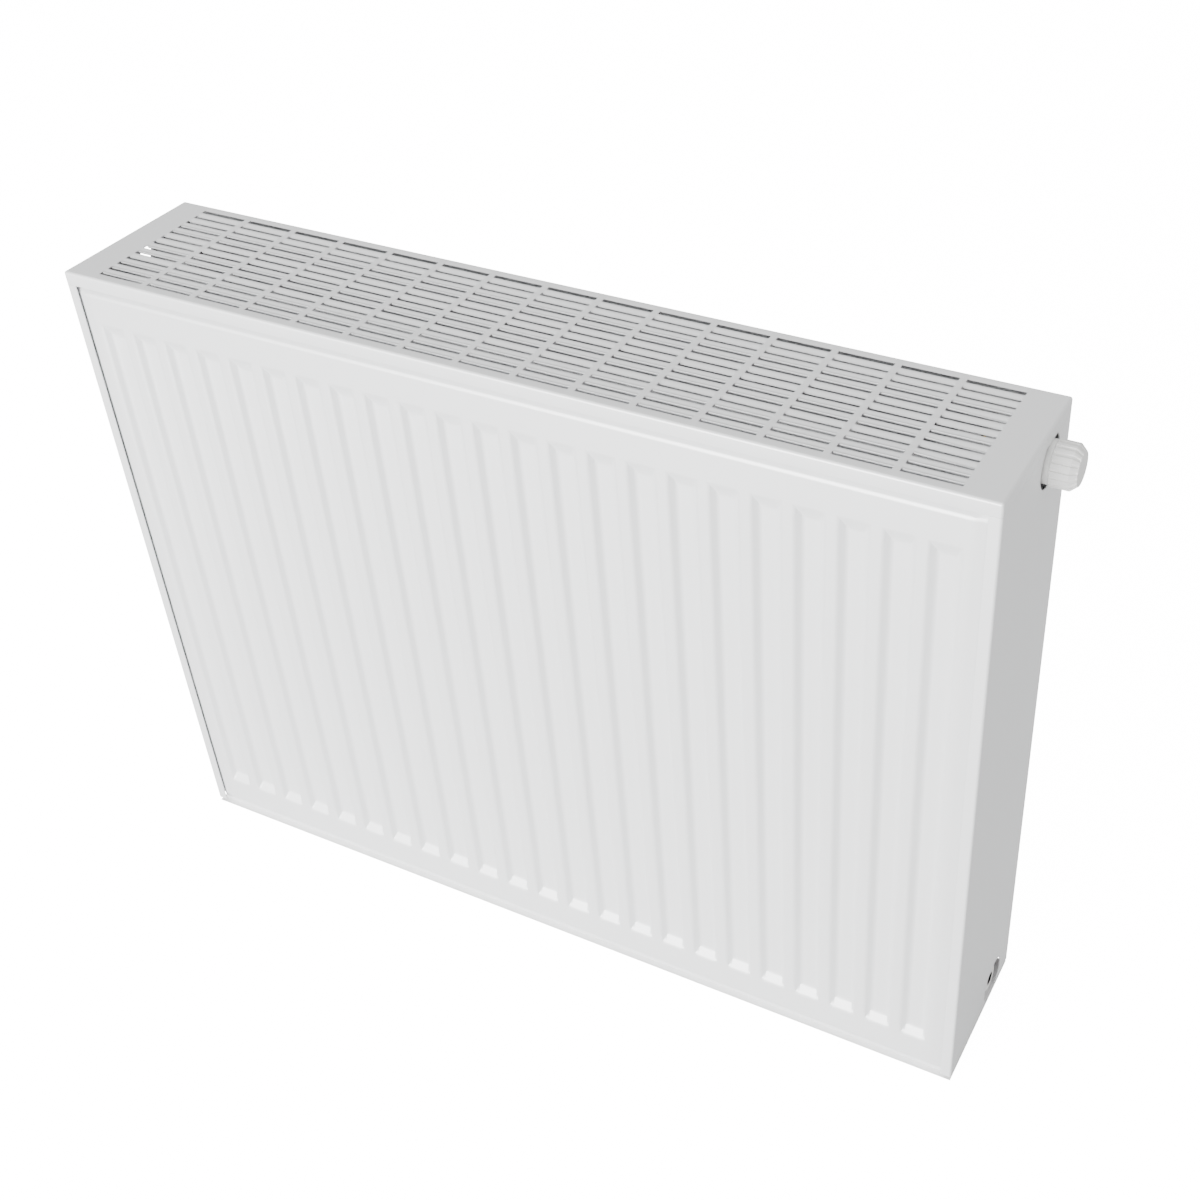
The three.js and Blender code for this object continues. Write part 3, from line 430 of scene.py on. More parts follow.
def moulded_plastic(colours):
    """White moulded plastic with a fine spark-eroded texture and faint flow marks."""
    finish = Finish("white_plastic")
    flow = finish.ramp(finish.noise(95.0, 2.0, (0.3, 1, 1)), 0.35, 0.75)
    spark = finish.noise(4200.0, 3.0)
    finish.surface(
        Base_Color=finish.mixed(flow, colours.plastic, colours.plastic_shade),
        Roughness=0.34 + 0.12 * flow + 0.08 * spark,
        IOR=1.46,
        Normal=finish.bump(spark, 0.10, 0.0001),
    )
    return finish.material


def turned_brass(colours):
    """Turned brass with fine tool rings across its axis and light tarnish."""
    finish = Finish("brass")
    tarnish = finish.ramp(finish.noise(140.0, 4.0), 0.42, 0.78)
    rings = finish.noise(900.0, 2.0, (6, 0.2, 0.2))
    finish.surface(
        Base_Color=finish.mixed(tarnish, colours.brass, colours.brass_shade),
        Metallic=1.0,
        Roughness=0.22 + 0.25 * tarnish + 0.08 * rings,
        Normal=finish.bump(rings, 0.15, 0.0001),
    )
    return finish.material


def zinc_plate(colours):
    """Zinc-plated steel with a soft crystal pattern and drawn scratches."""
    finish = Finish("zinc_steel")
    crystals = finish.ramp(finish.cells(420.0), 0.15, 0.75)
    scratches = finish.noise(1500.0, 2.0, (0.1, 1, 1))
    finish.surface(
        Base_Color=finish.mixed(crystals, colours.zinc, colours.zinc_shade),
        Metallic=1.0,
        Roughness=0.26 + 0.16 * crystals + 0.10 * scratches,
        Normal=finish.bump(scratches, 0.12, 0.0001),
    )
    return finish.material


def seal_rubber(colours):
    """Black seal rubber with a dull bloom."""
    finish = Finish("rubber")
    bloom = finish.ramp(finish.noise(300.0, 4.0), 0.45, 0.8)
    finish.surface(
        Base_Color=finish.mixed(bloom, colours.rubber, colours.rubber_shade),
        Roughness=0.62 + 0.25 * bloom,
        Normal=finish.bump(finish.noise(2400.0, 2.0), 0.2, 0.0001),
    )
    return finish.material


MATERIAL_MAKERS = {
    "white_powder_coat": powder_coat,
    "primed_steel": primed_steel,
    "white_plastic": moulded_plastic,
    "brass": turned_brass,
    "zinc_steel": zinc_plate,
    "rubber": seal_rubber,
}


def material(slot):
    """The slot's material, made the first time that a piece asks for it."""
    found = bpy.data.materials.get(slot)
    return found or MATERIAL_MAKERS[slot](bpy.context.scene.radiator.finishes)


# ---------------------------------------------------------------------------------------------
# Mesh helpers


def add_piece(bm, name, nodes, slot, body="root", wall=0.0, outside=None):
    """Makes a bmesh into a finished piece that stands for CAD nodes and rides on a body."""
    if outside is not None:
        facing = sum((face.normal * face.calc_area() for face in bm.faces), Vector())
        if facing.dot(outside) < 0:
            bmesh.ops.reverse_faces(bm, faces=bm.faces[:])
    mesh = bpy.data.meshes.new(name)
    bm.to_mesh(mesh)
    bm.free()
    mesh.shade_smooth()
    mesh.set_sharp_from_angle(angle=SMOOTH_ANGLE)
    piece = bpy.data.objects.new(name, mesh)
    bpy.context.scene.collection.objects.link(piece)
    if wall:
        shell = piece.modifiers.new("sheet", "SOLIDIFY")
        shell.thickness = wall
        shell.offset = -1
        shell.use_even_offset = True
    weights = piece.modifiers.new("face_weights", "WEIGHTED_NORMAL")
    weights.keep_sharp = True
    mesh.materials.append(material(slot))
    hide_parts(*nodes)
    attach(piece, body)
    return piece


def face_from(bm, points):
    """One flat face inside a closed row of points."""
    verts = [bm.verts.new(point) for point in points]
    edges = [bm.edges.new(pair) for pair in zip(verts, verts[1:] + verts[:1])]
    bmesh.ops.edgeloop_fill(bm, edges=edges)


def cut(bm, point, normal):
    """Cuts every face along a plane, without parting them."""
    everything = bm.verts[:] + bm.edges[:] + bm.faces[:]
    bmesh.ops.bisect_plane(bm, geom=everything, dist=TOLERANCE, plane_co=point, plane_no=normal)


def within(value, span):
    return span[0] - TOLERANCE < value < span[1] + TOLERANCE


def soften(bm, edges, radius, segments):
    """Rounds edges."""
    bmesh.ops.bevel(
        bm,
        geom=edges,
        offset=radius,
        offset_type="OFFSET",
        segments=segments,
        profile=0.5,
        affect="EDGES",
        material=-1,
        clamp_overlap=True,
        loop_slide=True,
    )


def creases(bm, least_degrees):
    """Edges where two faces meet at more than an angle."""
    least = math.radians(least_degrees)
    return [edge for edge in bm.edges if len(edge.link_faces) == 2 and edge.calc_face_angle(0) > least]


def turned(bm, profile, origin, along, steps=48, closed=False):
    """Spins (station, radius) pairs about an axis through the origin."""
    side = Vector((0, 1, 0))
    verts = [bm.verts.new(origin + along * station + side * radius) for station, radius in profile]
    edges = [bm.edges.new(pair) for pair in zip(verts, verts[1:])]
    if closed:
        edges.append(bm.edges.new((verts[-1], verts[0])))
    bmesh.ops.spin(
        bm,
        geom=verts + edges,
        cent=origin,
        axis=along,
        angle=math.tau,
        steps=steps,
        use_merge=True,
        use_duplicate=False,
    )
    bmesh.ops.remove_doubles(bm, verts=bm.verts[:], dist=TOLERANCE)
    bmesh.ops.recalc_face_normals(bm, faces=bm.faces[:])


def folded_strip(bm, path, low_z, high_z, radius):
    """A sheet that follows a path seen from above, with rounded folds."""
    verts = [bm.verts.new((x, y, low_z)) for x, y in path]
    edges = [bm.edges.new(pair) for pair in zip(verts, verts[1:])]
    raised = bmesh.ops.extrude_edge_only(bm, edges=edges)["geom"]
    top = [item for item in raised if isinstance(item, bmesh.types.BMVert)]
    bmesh.ops.translate(bm, verts=top, vec=(0, 0, high_z - low_z))
    soften(bm, creases(bm, 5), radius, 3)


def spread(whole, pitch, margin):
    """Middles of the cells of a pattern of equal pitch, centred on a length."""
    count = math.floor((whole - 2 * margin) / pitch + TOLERANCE) + 1
    return [(i - (count - 1) / 2) * pitch for i in range(count)]


def middle(node):
    low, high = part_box(node)
    return (low + high) / 2


# ---------------------------------------------------------------------------------------------
# Panels and convectors


def press(bm, across, upwards, shift):
    """Pushes the part of a sheet inside two spans in or out."""
    inside = [v for v in bm.verts if within(v.co.x, across) and within(v.co.z, upwards)]
    bmesh.ops.translate(bm, verts=inside, vec=(0, shift, 0))


def crease_corners(bm):
    """Splits each corner face, of which one corner alone lies deeper or higher, along its crease."""
    for face in bm.faces[:]:
        ordered = sorted(face.verts, key=lambda v: v.co.y)
        steps = [b.co.y - a.co.y > TOLERANCE for a, b in zip(ordered, ordered[1:])]
        if steps in ([True, False, False], [True, True, False]):
            lone = ordered[0]
        elif steps in ([False, False, True], [False, True, True]):
            lone = ordered[3]
        else:
            continue
        ring = list(face.verts)
        bmesh.utils.face_split(face, lone, ring[(ring.index(lone) + 2) % 4])


def add_pressed_sheet(sizes, node, outward):
    """One sheet of a panel, whose face looks along Y: outward is -1 or 1."""
    low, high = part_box(node)
    casing_low, casing_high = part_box("top_grille")
    depth = high.y - low.y - sizes.wall
    face_y = low.y if outward < 0 else high.y
    seam_y = face_y - outward * depth
    seam_x = sizes.rear_seam_x if node.startswith("rear") else sizes.seam_x
    shoulder_x = (low.x + seam_x + sizes.side_slope, high.x - seam_x - sizes.side_slope)
    face_x = (low.x + sizes.face_inset, high.x - sizes.face_inset)
    face_z = (low.z + sizes.seam_z + sizes.end_slope, high.z - sizes.seam_z - sizes.end_slope)
    flute_z = (low.z + sizes.bottom, casing_high.z - sizes.top)
    floor_z = (flute_z[0] + sizes.end, flute_z[1] - sizes.end)
    centre_x = (low.x + high.x) / 2
    flutes = []
    for offset in spread(casing_high.x - casing_low.x, sizes.pitch, sizes.side_margin):
        half = sizes.floor / 2
        flutes.append((centre_x + offset - half, centre_x + offset + half))

    bm = bmesh.new()
    corners = [(low.x, low.z), (high.x, low.z), (high.x, high.z), (low.x, high.z)]
    face_from(bm, [(x, seam_y, z) for x, z in corners])
    for z in (*face_z, *flute_z, *floor_z, low.z + sizes.seam_z, high.z - sizes.seam_z):
        cut(bm, (0, 0, z), ALONG_Z)
    for x in (*face_x, *shoulder_x, low.x + seam_x, high.x - seam_x):
        cut(bm, (x, 0, 0), ALONG_X)
    for start, end in flutes:
        for x in (start - sizes.side, start, end, end + sizes.side):
            cut(bm, (x, 0, 0), ALONG_X)
    press(bm, shoulder_x, face_z, outward * (depth - sizes.shoulder_drop))
    press(bm, face_x, face_z, outward * sizes.shoulder_drop)
    for flute in flutes:
        press(bm, flute, floor_z, -outward * depth)
    crease_corners(bm)
    soften(bm, creases(bm, 5), sizes.radius, 4)
    facing = Vector((0, outward, 0))
    add_piece(bm, f"{node}_steel", [node], "white_powder_coat", wall=sizes.wall, outside=facing)


def add_convector(sizes, node, first_foot_y, far_y):
    """A sheet folded to and fro between two panels; its first and last feet lie on one of them."""
    low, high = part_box(node)
    leg = sizes.pitch / 2 - sizes.foot
    half = sizes.wall / 2
    near = first_foot_y + math.copysign(half, far_y - first_foot_y)
    far = far_y - math.copysign(half, far_y - first_foot_y)
    path = []
    count = math.floor((high.x - low.x - sizes.foot) / sizes.pitch + TOLERANCE)
    for i in range(count):
        x = low.x + i * sizes.pitch
        path += [(x, near), (x + sizes.foot, near)]
        path += [(x + sizes.foot + leg, far), (x + 2 * sizes.foot + leg, far)]
    path += [(high.x - sizes.foot, near), (high.x, near)]
    bm = bmesh.new()
    folded_strip(bm, path, low.z, high.z, sizes.radius)
    piece = add_piece(bm, f"{node}_fins", [node], "primed_steel", wall=sizes.wall)
    piece.modifiers["sheet"].offset = 0


# ---------------------------------------------------------------------------------------------
# Casing


def add_grille(sizes):
    """The top grille: a tray with rolled folds, whose slats curve down towards the slots."""
    low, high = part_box("top_grille")
    centre = (low + high) / 2
    half_x = (sizes.pitch_x - sizes.bar) / 2
    columns = spread(high.x - low.x, sizes.pitch_x, sizes.end_margin + half_x)
    rows = spread(high.y - low.y, sizes.pitch_y, sizes.edge_margin + sizes.slot / 2)
    slat = sizes.pitch_y - sizes.slot

    def slat_drop(y):
        """How far the sheet lies below the top at a depth, over the slots' length."""
        across = ((y - centre.y - rows[0] - sizes.slot / 2) % sizes.pitch_y) / slat
        if across > 1 + TOLERANCE / slat:
            return 0.0
        front = max(0.0, 1 - across / SLAT_CREST)
        rear = max(0.0, (across - SLAT_CREST) / (1 - SLAT_CREST))
        return sizes.front_drop * front**2 + sizes.rear_drop * rear**2

    bm = bmesh.new()
    corners = [(low.x, low.y), (high.x, low.y), (high.x, high.y), (low.x, high.y)]
    face_from(bm, [(x, y, high.z) for x, y in corners])
    front_row = centre.y + rows[0] - sizes.slot / 2
    rear_row = centre.y + rows[-1] + sizes.slot / 2
    cut(bm, (0, front_row, 0), (0, 1, 0))
    cut(bm, (0, rear_row, 0), (0, 1, 0))
    for row in rows[:-1]:
        for station in SLAT_STATIONS:
            cut(bm, (0, centre.y + row + sizes.slot / 2 + station * slat, 0), (0, 1, 0))
    cut(bm, (0, rear_row - sizes.slot, 0), (0, 1, 0))
    for column in columns:
        for side in (-1, 1):
            for x in (half_x, half_x - sizes.step):
                cut(bm, (centre.x + column + side * x, 0, 0), ALONG_X)
    slats = (front_row + sizes.slot, rear_row - sizes.slot)
    for v in bm.verts:
        over = min(abs(v.co.x - centre.x - column) for column in columns)
        if over < half_x - sizes.step + TOLERANCE and within(v.co.y, slats):
            v.co.z -= slat_drop(v.co.y)
    slots = []
    for face in bm.faces:
        place = face.calc_center_median()
        in_column = min(abs(place.x - centre.x - column) for column in columns) < half_x
        in_row = min(abs(place.y - centre.y - row) for row in rows) < sizes.slot / 2
        if in_column and in_row:
            slots.append(face)
    bmesh.ops.delete(bm, geom=slots, context="FACES")

    rim = [e for e in bm.edges if e.is_boundary and all(on_outline(v, low, high) for v in e.verts)]
    fold = bmesh.ops.extrude_edge_only(bm, edges=rim)["geom"]
    lip = [item for item in fold if isinstance(item, bmesh.types.BMVert)]
    bmesh.ops.translate(bm, verts=lip, vec=(0, 0, low.z - high.z))
    sharp = [e for e in creases(bm, 60) if all(on_outline(v, low, high) for v in e.verts)]
    soften(bm, sharp, sizes.bend, 5)
    add_piece(bm, "grille_sheet", ["top_grille"], "white_powder_coat", wall=sizes.wall, outside=ALONG_Z)


def on_outline(v, low, high):
    """Whether a vertex lies on the grille's outline, seen from above."""
    across = min(abs(v.co.x - low.x), abs(v.co.x - high.x))
    deep = min(abs(v.co.y - low.y), abs(v.co.y - high.y))
    return min(across, deep) < TOLERANCE


def arc_points(centre, radius, start, end, steps):
    """Points (y, z) along an arc, in the order from start to end."""
    for i in range(steps + 1):
        angle = start + (end - start) * i / steps
        yield centre.y + radius * math.cos(angle), centre.z + radius * math.sin(angle)


def add_side_cover(sizes, node, outward, bottom_hub, top_hub):
    """A side cover: a web with two folded flanges, open around both connections."""
    low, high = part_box(node)
    outer_x, tip_x = (high.x, low.x) if outward > 0 else (low.x, high.x)
    steps = 32
    lower = math.asin((low.z - bottom_hub.z) / sizes.opening)
    upper = math.asin((high.z - top_hub.z) / sizes.opening)
    outline = [(low.y, low.z)]
    outline += arc_points(bottom_hub, sizes.opening, math.pi - lower, lower, steps)
    outline += [(high.y, low.z), (high.y, high.z)]
    outline += arc_points(top_hub, sizes.opening, upper, -math.pi - upper, steps)
    outline += [(low.y, high.z)]
    bm = bmesh.new()
    face_from(bm, [(outer_x, y, z) for y, z in outline])
    for y in (low.y, high.y):
        side = [e for e in bm.edges if all(abs(v.co.y - y) < TOLERANCE for v in e.verts)]
        fold = bmesh.ops.extrude_edge_only(bm, edges=side)["geom"]
        flange = [item for item in fold if isinstance(item, bmesh.types.BMVert)]
        bmesh.ops.translate(bm, verts=flange, vec=(tip_x - outer_x, 0, 0))
    soften(bm, creases(bm, 60), sizes.bend, 6)
    facing = Vector((outward, 0, 0))
    piece = add_piece(bm, f"{node}_sheet", [node], "white_powder_coat", wall=sizes.wall, outside=facing)
    bead = piece.modifiers.new("paint_bead", "BEVEL")
    bead.width = sizes.bead
    bead.segments = 2
    bead.limit_method = "ANGLE"
    bead.angle_limit = math.radians(60)
    bead_place, weights_place = 2, 1
    piece.modifiers.move(bead_place, weights_place)


def add_lug(sizes, node):
    """A welded strap with rounded folds, whose feet stand on the rear panel."""
    low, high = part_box(node)
    near = low.y + sizes.wall / 2
    far = high.y - sizes.wall / 2
    rise = sizes.foot + sizes.lean
    path = [(low.x, near), (low.x + sizes.foot, near), (low.x + rise, far)]
    path += [(high.x - rise, far), (high.x - sizes.foot, near), (high.x, near)]
    bm = bmesh.new()
    folded_strip(bm, path, low.z, high.z, sizes.radius)
    piece = add_piece(bm, f"{node}_strap", [node], "white_powder_coat", wall=sizes.wall)
    piece.modifiers["sheet"].offset = 0


# ---------------------------------------------------------------------------------------------
# Valve, plugs, vent and nipples


def add_cap(sizes):
    """The hand-turned cap: sleeve, ribbed grip and chamfered nose."""
    low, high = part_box("valve_cap")
    origin = middle("valve_cap")
    origin.x = 0
    grip_end = high.x - sizes.nose
    grip = grip_end - sizes.grip_length
    inner_end = grip_end - sizes.inner_step
    profile = [
        (inner_end, 0),
        (inner_end, sizes.bore),
        (low.x, sizes.bore),
        (low.x, sizes.sleeve),
        (grip - sizes.flat, sizes.sleeve),
        (grip, sizes.grip),
        (grip_end, sizes.grip),
        (high.x, sizes.nose_radius),
        (high.x, 0),
    ]
    bm = bmesh.new()
    steps = STEPS_PER_RIB * sizes.ribs
    turned(bm, profile, origin, ALONG_X, steps)
    grooves = []
    for face in bm.faces:
        place = face.calc_center_median()
        radial = Vector((0, place.y - origin.y, place.z - origin.z))
        angle = math.atan2(radial.z, radial.y) % math.tau
        index = math.floor(angle / math.tau * steps)
        in_groove = index % STEPS_PER_RIB < STEPS_PER_RIB / 2
        on_grip = place.x > grip and radial.length > max(sizes.nose_radius, sizes.bore)
        on_nose = grip_end < place.x < high.x - TOLERANCE
        if in_groove and (on_grip or on_nose):
            grooves.append(face)
    bmesh.ops.inset_region(
        bm,
        faces=grooves,
        thickness=sizes.groove_wall,
        depth=-sizes.groove,
        use_boundary=True,
        use_even_offset=True,
    )
    soften(bm, creases(bm, 28), sizes.rounding, 2)
    add_piece(bm, "cap_moulding", ["valve_cap"], "white_plastic", body="valve_cap")


def add_plug(sizes, node, outward):
    """A blank plug with a rounded head and a hexagon socket."""
    low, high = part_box(node)
    origin = middle(node)
    along = Vector((outward, 0, 0))
    start, face = (low.x, high.x) if outward > 0 else (-high.x, -low.x)
    origin.x = 0
    head_radius = (high.z - low.z) / 2
    head = face - sizes.head
    bm = bmesh.new()
    profile = [(start, 0), (start, sizes.neck), (head, sizes.neck), (head, head_radius)]
    rim_steps = 6
    for step in range(rim_steps + 1):
        bend = math.pi / 2 * step / rim_steps
        station = face - sizes.rim * (1 - math.sin(bend))
        profile.append((station, head_radius - sizes.rim * (1 - math.cos(bend))))
    turned(bm, profile, origin, along)
    edge_ring = [e for e in bm.edges if e.is_boundary]
    turn = Matrix.Rotation(math.pi / 2, 4, "Y")
    place = Matrix.Translation(origin + along * face) @ turn
    hexagon = bmesh.ops.create_circle(bm, segments=HEXAGON_SIDES, radius=sizes.key, matrix=place)
    socket = hexagon["verts"]
    socket_ring = [e for e in bm.edges if e.is_boundary or e.is_wire]
    socket_ring = [e for e in socket_ring if all(v in socket for v in e.verts)]
    bmesh.ops.bridge_loops(bm, edges=edge_ring + socket_ring)
    deeper = bmesh.ops.extrude_edge_only(bm, edges=socket_ring)["geom"]
    floor = [item for item in deeper if isinstance(item, bmesh.types.BMVert)]
    bmesh.ops.translate(bm, verts=floor, vec=-along * sizes.key_depth)
    bmesh.ops.contextual_create(bm, geom=floor)
    bmesh.ops.recalc_face_normals(bm, faces=bm.faces[:])
    soften(bm, [e for e in creases(bm, 28) if e.calc_length() > SHORTEST_EDGE], sizes.rounding, 2)
    add_piece(bm, f"{node}_moulding", [node], "white_plastic")


def thread_profile(sizes, start, end, radius):
    """Stations and radii of thread ridges from start to end."""
    turns = max(1, math.floor((end - start) / sizes.pitch))
    root = radius - sizes.depth
    points = [(start, root)]
    for i in range(turns):
        ridge = start + (i + 0.5) * sizes.pitch
        points += [(ridge - sizes.crest, radius), (ridge + sizes.crest, radius)]
        points.append((start + (i + 1) * sizes.pitch, root))
    return points


def add_nipple(sizes, node):
    """A pipe nipple with a thread on its lower part."""
    low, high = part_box(node)
    origin = middle(node)
    radius = (high.x - low.x) / 2
    thread_end = min(low.z + sizes.reach, high.z - sizes.collar)
    profile = [(low.z, sizes.bore), (low.z, radius - sizes.depth)]
    profile += thread_profile(sizes, low.z + sizes.lead_in, thread_end, radius)
    last = profile[-1][0]
    profile += [(last + sizes.run_out, radius), (high.z, radius), (high.z, sizes.bore)]
    origin.z = 0
    bm = bmesh.new()
    turned(bm, profile, origin, ALONG_Z, closed=True)
    add_piece(bm, f"{node}_thread", [node], "zinc_steel")


def add_vent(sizes):
    """The vent plug and its nozzle ring at the left-hand top connection."""
    along = Vector((-1, 0, 0))
    low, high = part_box("vent_plug")
    origin = middle("vent_plug")
    origin.x = 0
    head_radius = (high.z - low.z) / 2
    face = -low.x
    start = -high.x
    head = face - sizes.head
    bm = bmesh.new()
    profile = [(start, sizes.passage), (start, sizes.neck), (head, sizes.neck)]
    profile += [(head, head_radius), (face, head_radius), (face, sizes.passage)]
    turned(bm, profile, origin, along, closed=True)
    soften(bm, creases(bm, 60), sizes.rounding, 2)
    add_piece(bm, "vent_plug_turned", ["vent_plug"], "zinc_steel")

    low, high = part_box("vent_nozzle")
    ring_radius = high.z - origin.z
    start, face = -high.x, -low.x
    groove = (start + face) / 2
    bm = bmesh.new()
    profile = [(start, sizes.bore), (start, ring_radius), (groove - sizes.groove_width, ring_radius)]
    profile += [(groove, ring_radius - sizes.groove_depth), (groove + sizes.groove_width, ring_radius)]
    profile += [(face, ring_radius), (face, sizes.bore)]
    turned(bm, profile, origin, along, closed=True)
    soften(bm, creases(bm, 60), sizes.rounding, 2)
    spout = bmesh.new()
    spout_top = origin.z - sizes.bore - sizes.spout_root
    centre = Vector((-groove, origin.y, 0))
    outline = [(low.z, sizes.spout_bore), (low.z, sizes.spout)]
    outline += [(spout_top, sizes.spout), (spout_top, sizes.spout_bore)]
    turned(spout, outline, centre, ALONG_Z, steps=24, closed=True)
    soften(spout, creases(spout, 60), sizes.spout_rounding, 2)
    joined = bpy.data.meshes.new("spout")
    spout.to_mesh(joined)
    spout.free()
    bm.from_mesh(joined)
    bpy.data.meshes.remove(joined)
    add_piece(bm, "vent_nozzle_moulding", ["vent_nozzle"], "white_plastic", body="vent_nozzle")


# ---------------------------------------------------------------------------------------------
# Operators


class RADIATOR_OT_panels(bpy.types.Operator):
    """Press the six sheets of the three water panels"""

    bl_idname = "radiator.panels"
    bl_label = "Water Panels"

    def execute(self, context):
        for panel in ("front", "middle", "rear"):
            add_pressed_sheet(context.scene.radiator.panels, f"{panel}_panel_front_sheet", -1)
            add_pressed_sheet(context.scene.radiator.panels, f"{panel}_panel_rear_sheet", 1)
        return {"FINISHED"}


class RADIATOR_OT_convectors(bpy.types.Operator):
    """Fold the three fin convectors between the panels"""

    bl_idname = "radiator.convectors"
    bl_label = "Convectors"

    def execute(self, context):
        sizes = context.scene.radiator.convectors
        starts_in_front = {"front_convector": True, "middle_convector": True, "rear_convector": False}
        for node, from_front in starts_in_front.items():
            low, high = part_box(node)
            ends = (low.y, high.y) if from_front else (high.y, low.y)
            add_convector(sizes, node, *ends)
        return {"FINISHED"}


class RADIATOR_OT_grille(bpy.types.Operator):
    """Stamp and fold the slotted top grille"""

    bl_idname = "radiator.grille"
    bl_label = "Top Grille"

    def execute(self, context):
        add_grille(context.scene.radiator.grille)
        return {"FINISHED"}


class RADIATOR_OT_side_covers(bpy.types.Operator):
    """Fold the two side covers, with openings around the connections"""

    bl_idname = "radiator.side_covers"
    bl_label = "Side Covers"

    def execute(self, context):
        sizes = context.scene.radiator.covers
        add_side_cover(sizes, "right_side_cover", 1, middle("right_blank_plug"), middle("valve_cap"))
        add_side_cover(sizes, "left_side_cover", -1, middle("left_blank_plug"), middle("vent_plug"))
        return {"FINISHED"}


class RADIATOR_OT_lugs(bpy.types.Operator):
    """Fold the four hanging lugs behind the rear panel"""

    bl_idname = "radiator.lugs"
    bl_label = "Hanging Lugs"

    def execute(self, context):
        for side in ("left", "right"):
            for end in ("top", "bottom"):
                add_lug(context.scene.radiator.lugs, f"hanging_lug_{side}_{end}")
        return {"FINISHED"}


class RADIATOR_OT_cap(bpy.types.Operator):
    """Mould the ribbed cap that turns on the valve"""

    bl_idname = "radiator.cap"
    bl_label = "Valve Cap"

    def execute(self, context):
        add_cap(context.scene.radiator.cap)
        return {"FINISHED"}


class RADIATOR_OT_plugs(bpy.types.Operator):
    """Mould the two blank plugs of the bottom connections"""

    bl_idname = "radiator.plugs"
    bl_label = "Blank Plugs"

    def execute(self, context):
        add_plug(context.scene.radiator.plugs, "right_blank_plug", 1)
        add_plug(context.scene.radiator.plugs, "left_blank_plug", -1)
        return {"FINISHED"}


class RADIATOR_OT_vent(bpy.types.Operator):
    """Turn the vent plug and mould its nozzle ring"""

    bl_idname = "radiator.vent"
    bl_label = "Air Vent"

    def execute(self, context):
        add_vent(context.scene.radiator.vent)
        return {"FINISHED"}


class RADIATOR_OT_nipples(bpy.types.Operator):
    """Turn the threaded flow nipple"""

    bl_idname = "radiator.nipples"
    bl_label = "Flow Nipple"

    def execute(self, context):
        add_nipple(context.scene.radiator.nipple, "flow_nipple")
        return {"FINISHED"}


class RADIATOR_OT_inner_pieces(bpy.types.Operator):
    """Finish the pieces that stay as packed: tees, tubes, riser, valve insert, seals and saddles"""

    bl_idname = "radiator.inner_pieces"
    bl_label = "Inner Pieces"

    def execute(self, context):
        slots = {row["node"]: row["material_slot"] for row in frame["record"]["subparts"]}
        for name, node in frame["nodes"].items():
            if node.hide_render:
                continue
            node.data.materials.clear()
            node.data.materials.append(material(slots[name]))
            for polygon in node.data.polygons:
                polygon.use_smooth = True
            weld = node.modifiers.new("weld", "WELD")
            weld.merge_threshold = TOLERANCE
            split = node.modifiers.new("edges", "EDGE_SPLIT")
            split.split_angle = SMOOTH_ANGLE
        return {"FINISHED"}


def floor_card(name, half, height, tone, glow=0.0, centre=(0, 0)):
    """A flat card on the floor that belongs to the stage."""
    bm = bmesh.new()
    bmesh.ops.create_grid(bm, x_segments=1, y_segments=1, size=1)
    bmesh.ops.scale(bm, vec=(half[0], half[1], 1), verts=bm.verts)
    bmesh.ops.translate(bm, vec=(centre[0], centre[1], height), verts=bm.verts)
    mesh = bpy.data.meshes.new(name)
    bm.to_mesh(mesh)
    bm.free()
    card = bpy.data.objects.new(name, mesh)
    bpy.context.scene.collection.objects.link(card)
    finish = Finish(name)
    finish.surface(Base_Color=(tone, tone, tone, 1), Roughness=0.9, Emission_Color=(1, 1, 1, 1))
    finish.shader.inputs["Emission Strength"].default_value = glow
    mesh.materials.append(finish.material)
    return card


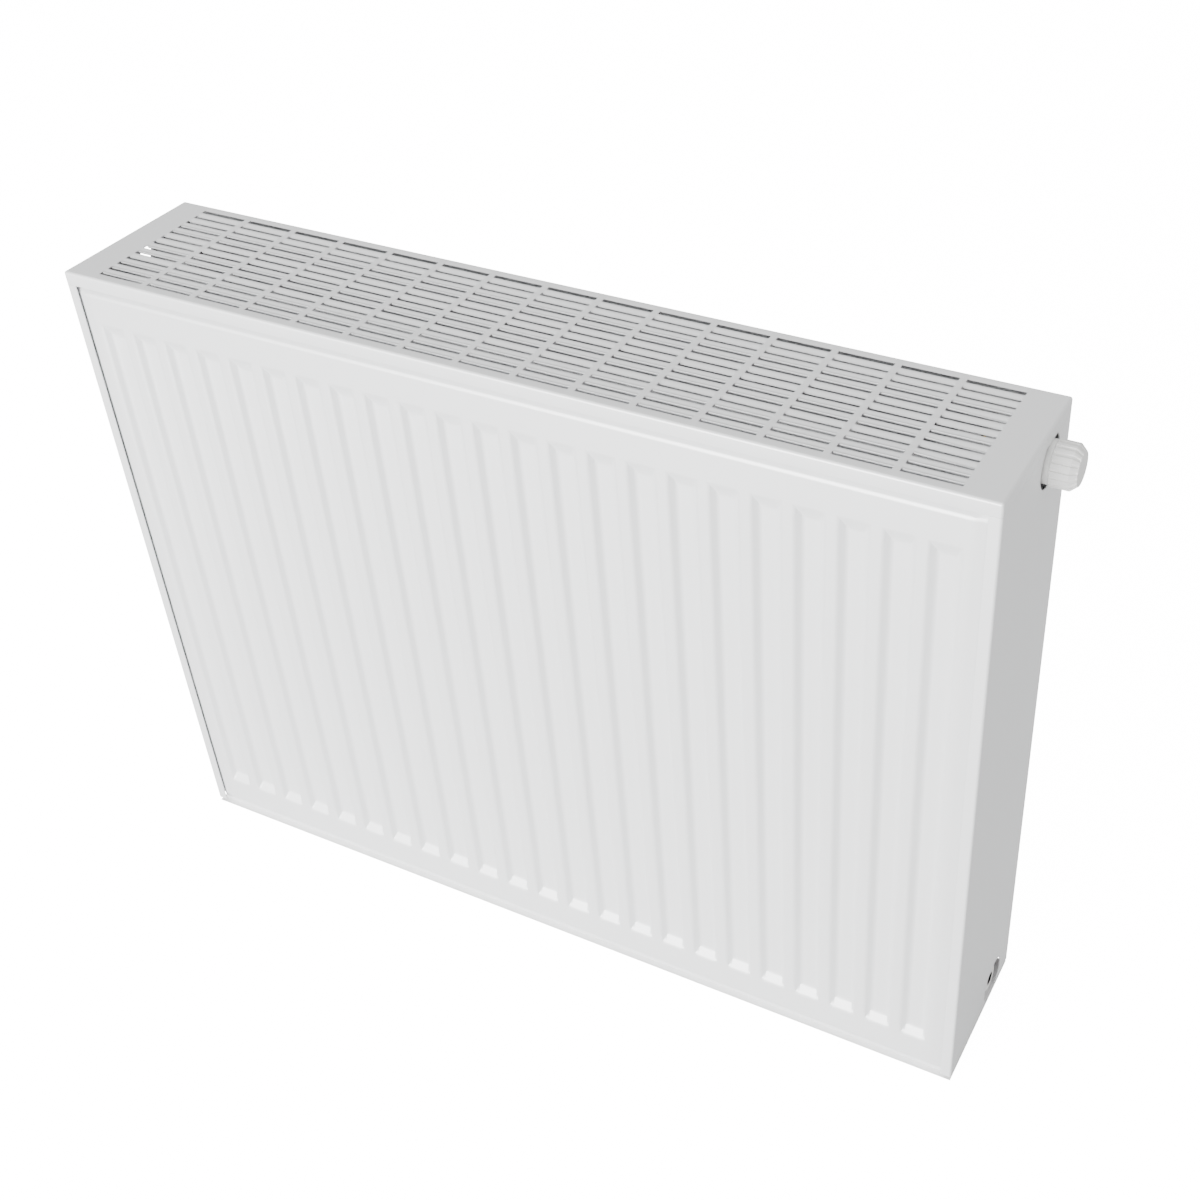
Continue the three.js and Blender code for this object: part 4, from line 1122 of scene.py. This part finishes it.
class RADIATOR_OT_stage(bpy.types.Operator):
    """Set up the pale floor, the soft light and the camera"""

    bl_idname = "radiator.stage"
    bl_label = "Stage"

    def execute(self, context):
        settings = context.scene.radiator.stage
        half = (settings.floor_half, settings.floor_half)
        floor = floor_card("floor", half, 0, settings.floor, settings.glow)
        floor.visible_diffuse = False
        floor.visible_glossy = False
        bounce = floor_card("floor_bounce", half, -settings.bounce_drop, settings.floor)
        bounce.visible_camera = False
        low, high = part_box("top_grille")
        inset = settings.shade_inset
        footprint = ((high.x - low.x) / 2 - inset, (high.y - low.y) / 2 - inset)
        below = (low + high) / 2
        floor_card("floor_shade", footprint, settings.shade_rise, settings.floor, centre=below)

        world = bpy.data.worlds.new("studio")
        world.use_nodes = True
        sky = world.node_tree.nodes["Background"]
        sky.inputs["Color"].default_value = (1, 1, 1, 1)
        sky.inputs["Strength"].default_value = settings.sky
        context.scene.world = world

        centre = (CAD_BOX[0] + CAD_BOX[1]) / 2
        light = bpy.data.lights.new("front_softbox", "AREA")
        light.shape = "RECTANGLE"
        light.size = settings.key_width
        light.size_y = settings.key_height
        light.energy = settings.key
        lamp = bpy.data.objects.new("front_softbox", light)
        context.scene.collection.objects.link(lamp)
        lamp.location = settings.key_place
        lamp.rotation_euler = (centre - lamp.location).to_track_quat("-Z", "Y").to_euler()

        camera = bpy.data.cameras.new("camera")
        camera.sensor_width = 36
        camera.lens = settings.lens
        camera.shift_x = settings.shift_x
        camera.shift_y = settings.shift_y
        viewpoint = bpy.data.objects.new("camera", camera)
        viewpoint.location = settings.camera_place
        viewpoint.rotation_euler = settings.camera_turn
        context.scene.collection.objects.link(viewpoint)
        context.scene.camera = viewpoint
        return {"FINISHED"}


STEPS = (
    RADIATOR_OT_panels,
    RADIATOR_OT_convectors,
    RADIATOR_OT_grille,
    RADIATOR_OT_side_covers,
    RADIATOR_OT_lugs,
    RADIATOR_OT_cap,
    RADIATOR_OT_plugs,
    RADIATOR_OT_vent,
    RADIATOR_OT_nipples,
    RADIATOR_OT_inner_pieces,
    RADIATOR_OT_stage,
)


class RADIATOR_PT_sidebar(bpy.types.Panel):
    """Lists the radiator's building steps"""

    bl_idname = "RADIATOR_PT_sidebar"
    bl_label = "Radiator"
    bl_space_type = "VIEW_3D"
    bl_region_type = "UI"
    bl_category = "Radiator"

    def draw(self, context):
        for step in STEPS:
            self.layout.operator(step.bl_idname)


GROUPS = (
    PanelSizes,
    ConvectorSizes,
    GrilleSizes,
    CoverSizes,
    LugSizes,
    CapSizes,
    PlugSizes,
    VentSizes,
    NippleSizes,
    Finishes,
    StageSettings,
    RadiatorSettings,
)


def register():
    for cls in (*GROUPS, *STEPS, RADIATOR_PT_sidebar):
        bpy.utils.register_class(cls)
    bpy.types.Scene.radiator = PointerProperty(type=RadiatorSettings)


def unregister():
    del bpy.types.Scene.radiator
    for cls in reversed((*GROUPS, *STEPS, RADIATOR_PT_sidebar)):
        bpy.utils.unregister_class(cls)


def main():
    register()
    for step in STEPS:
        family, name = step.bl_idname.split(".")
        getattr(getattr(bpy.ops, family), name)()


if __name__ == "__main__":
    main()
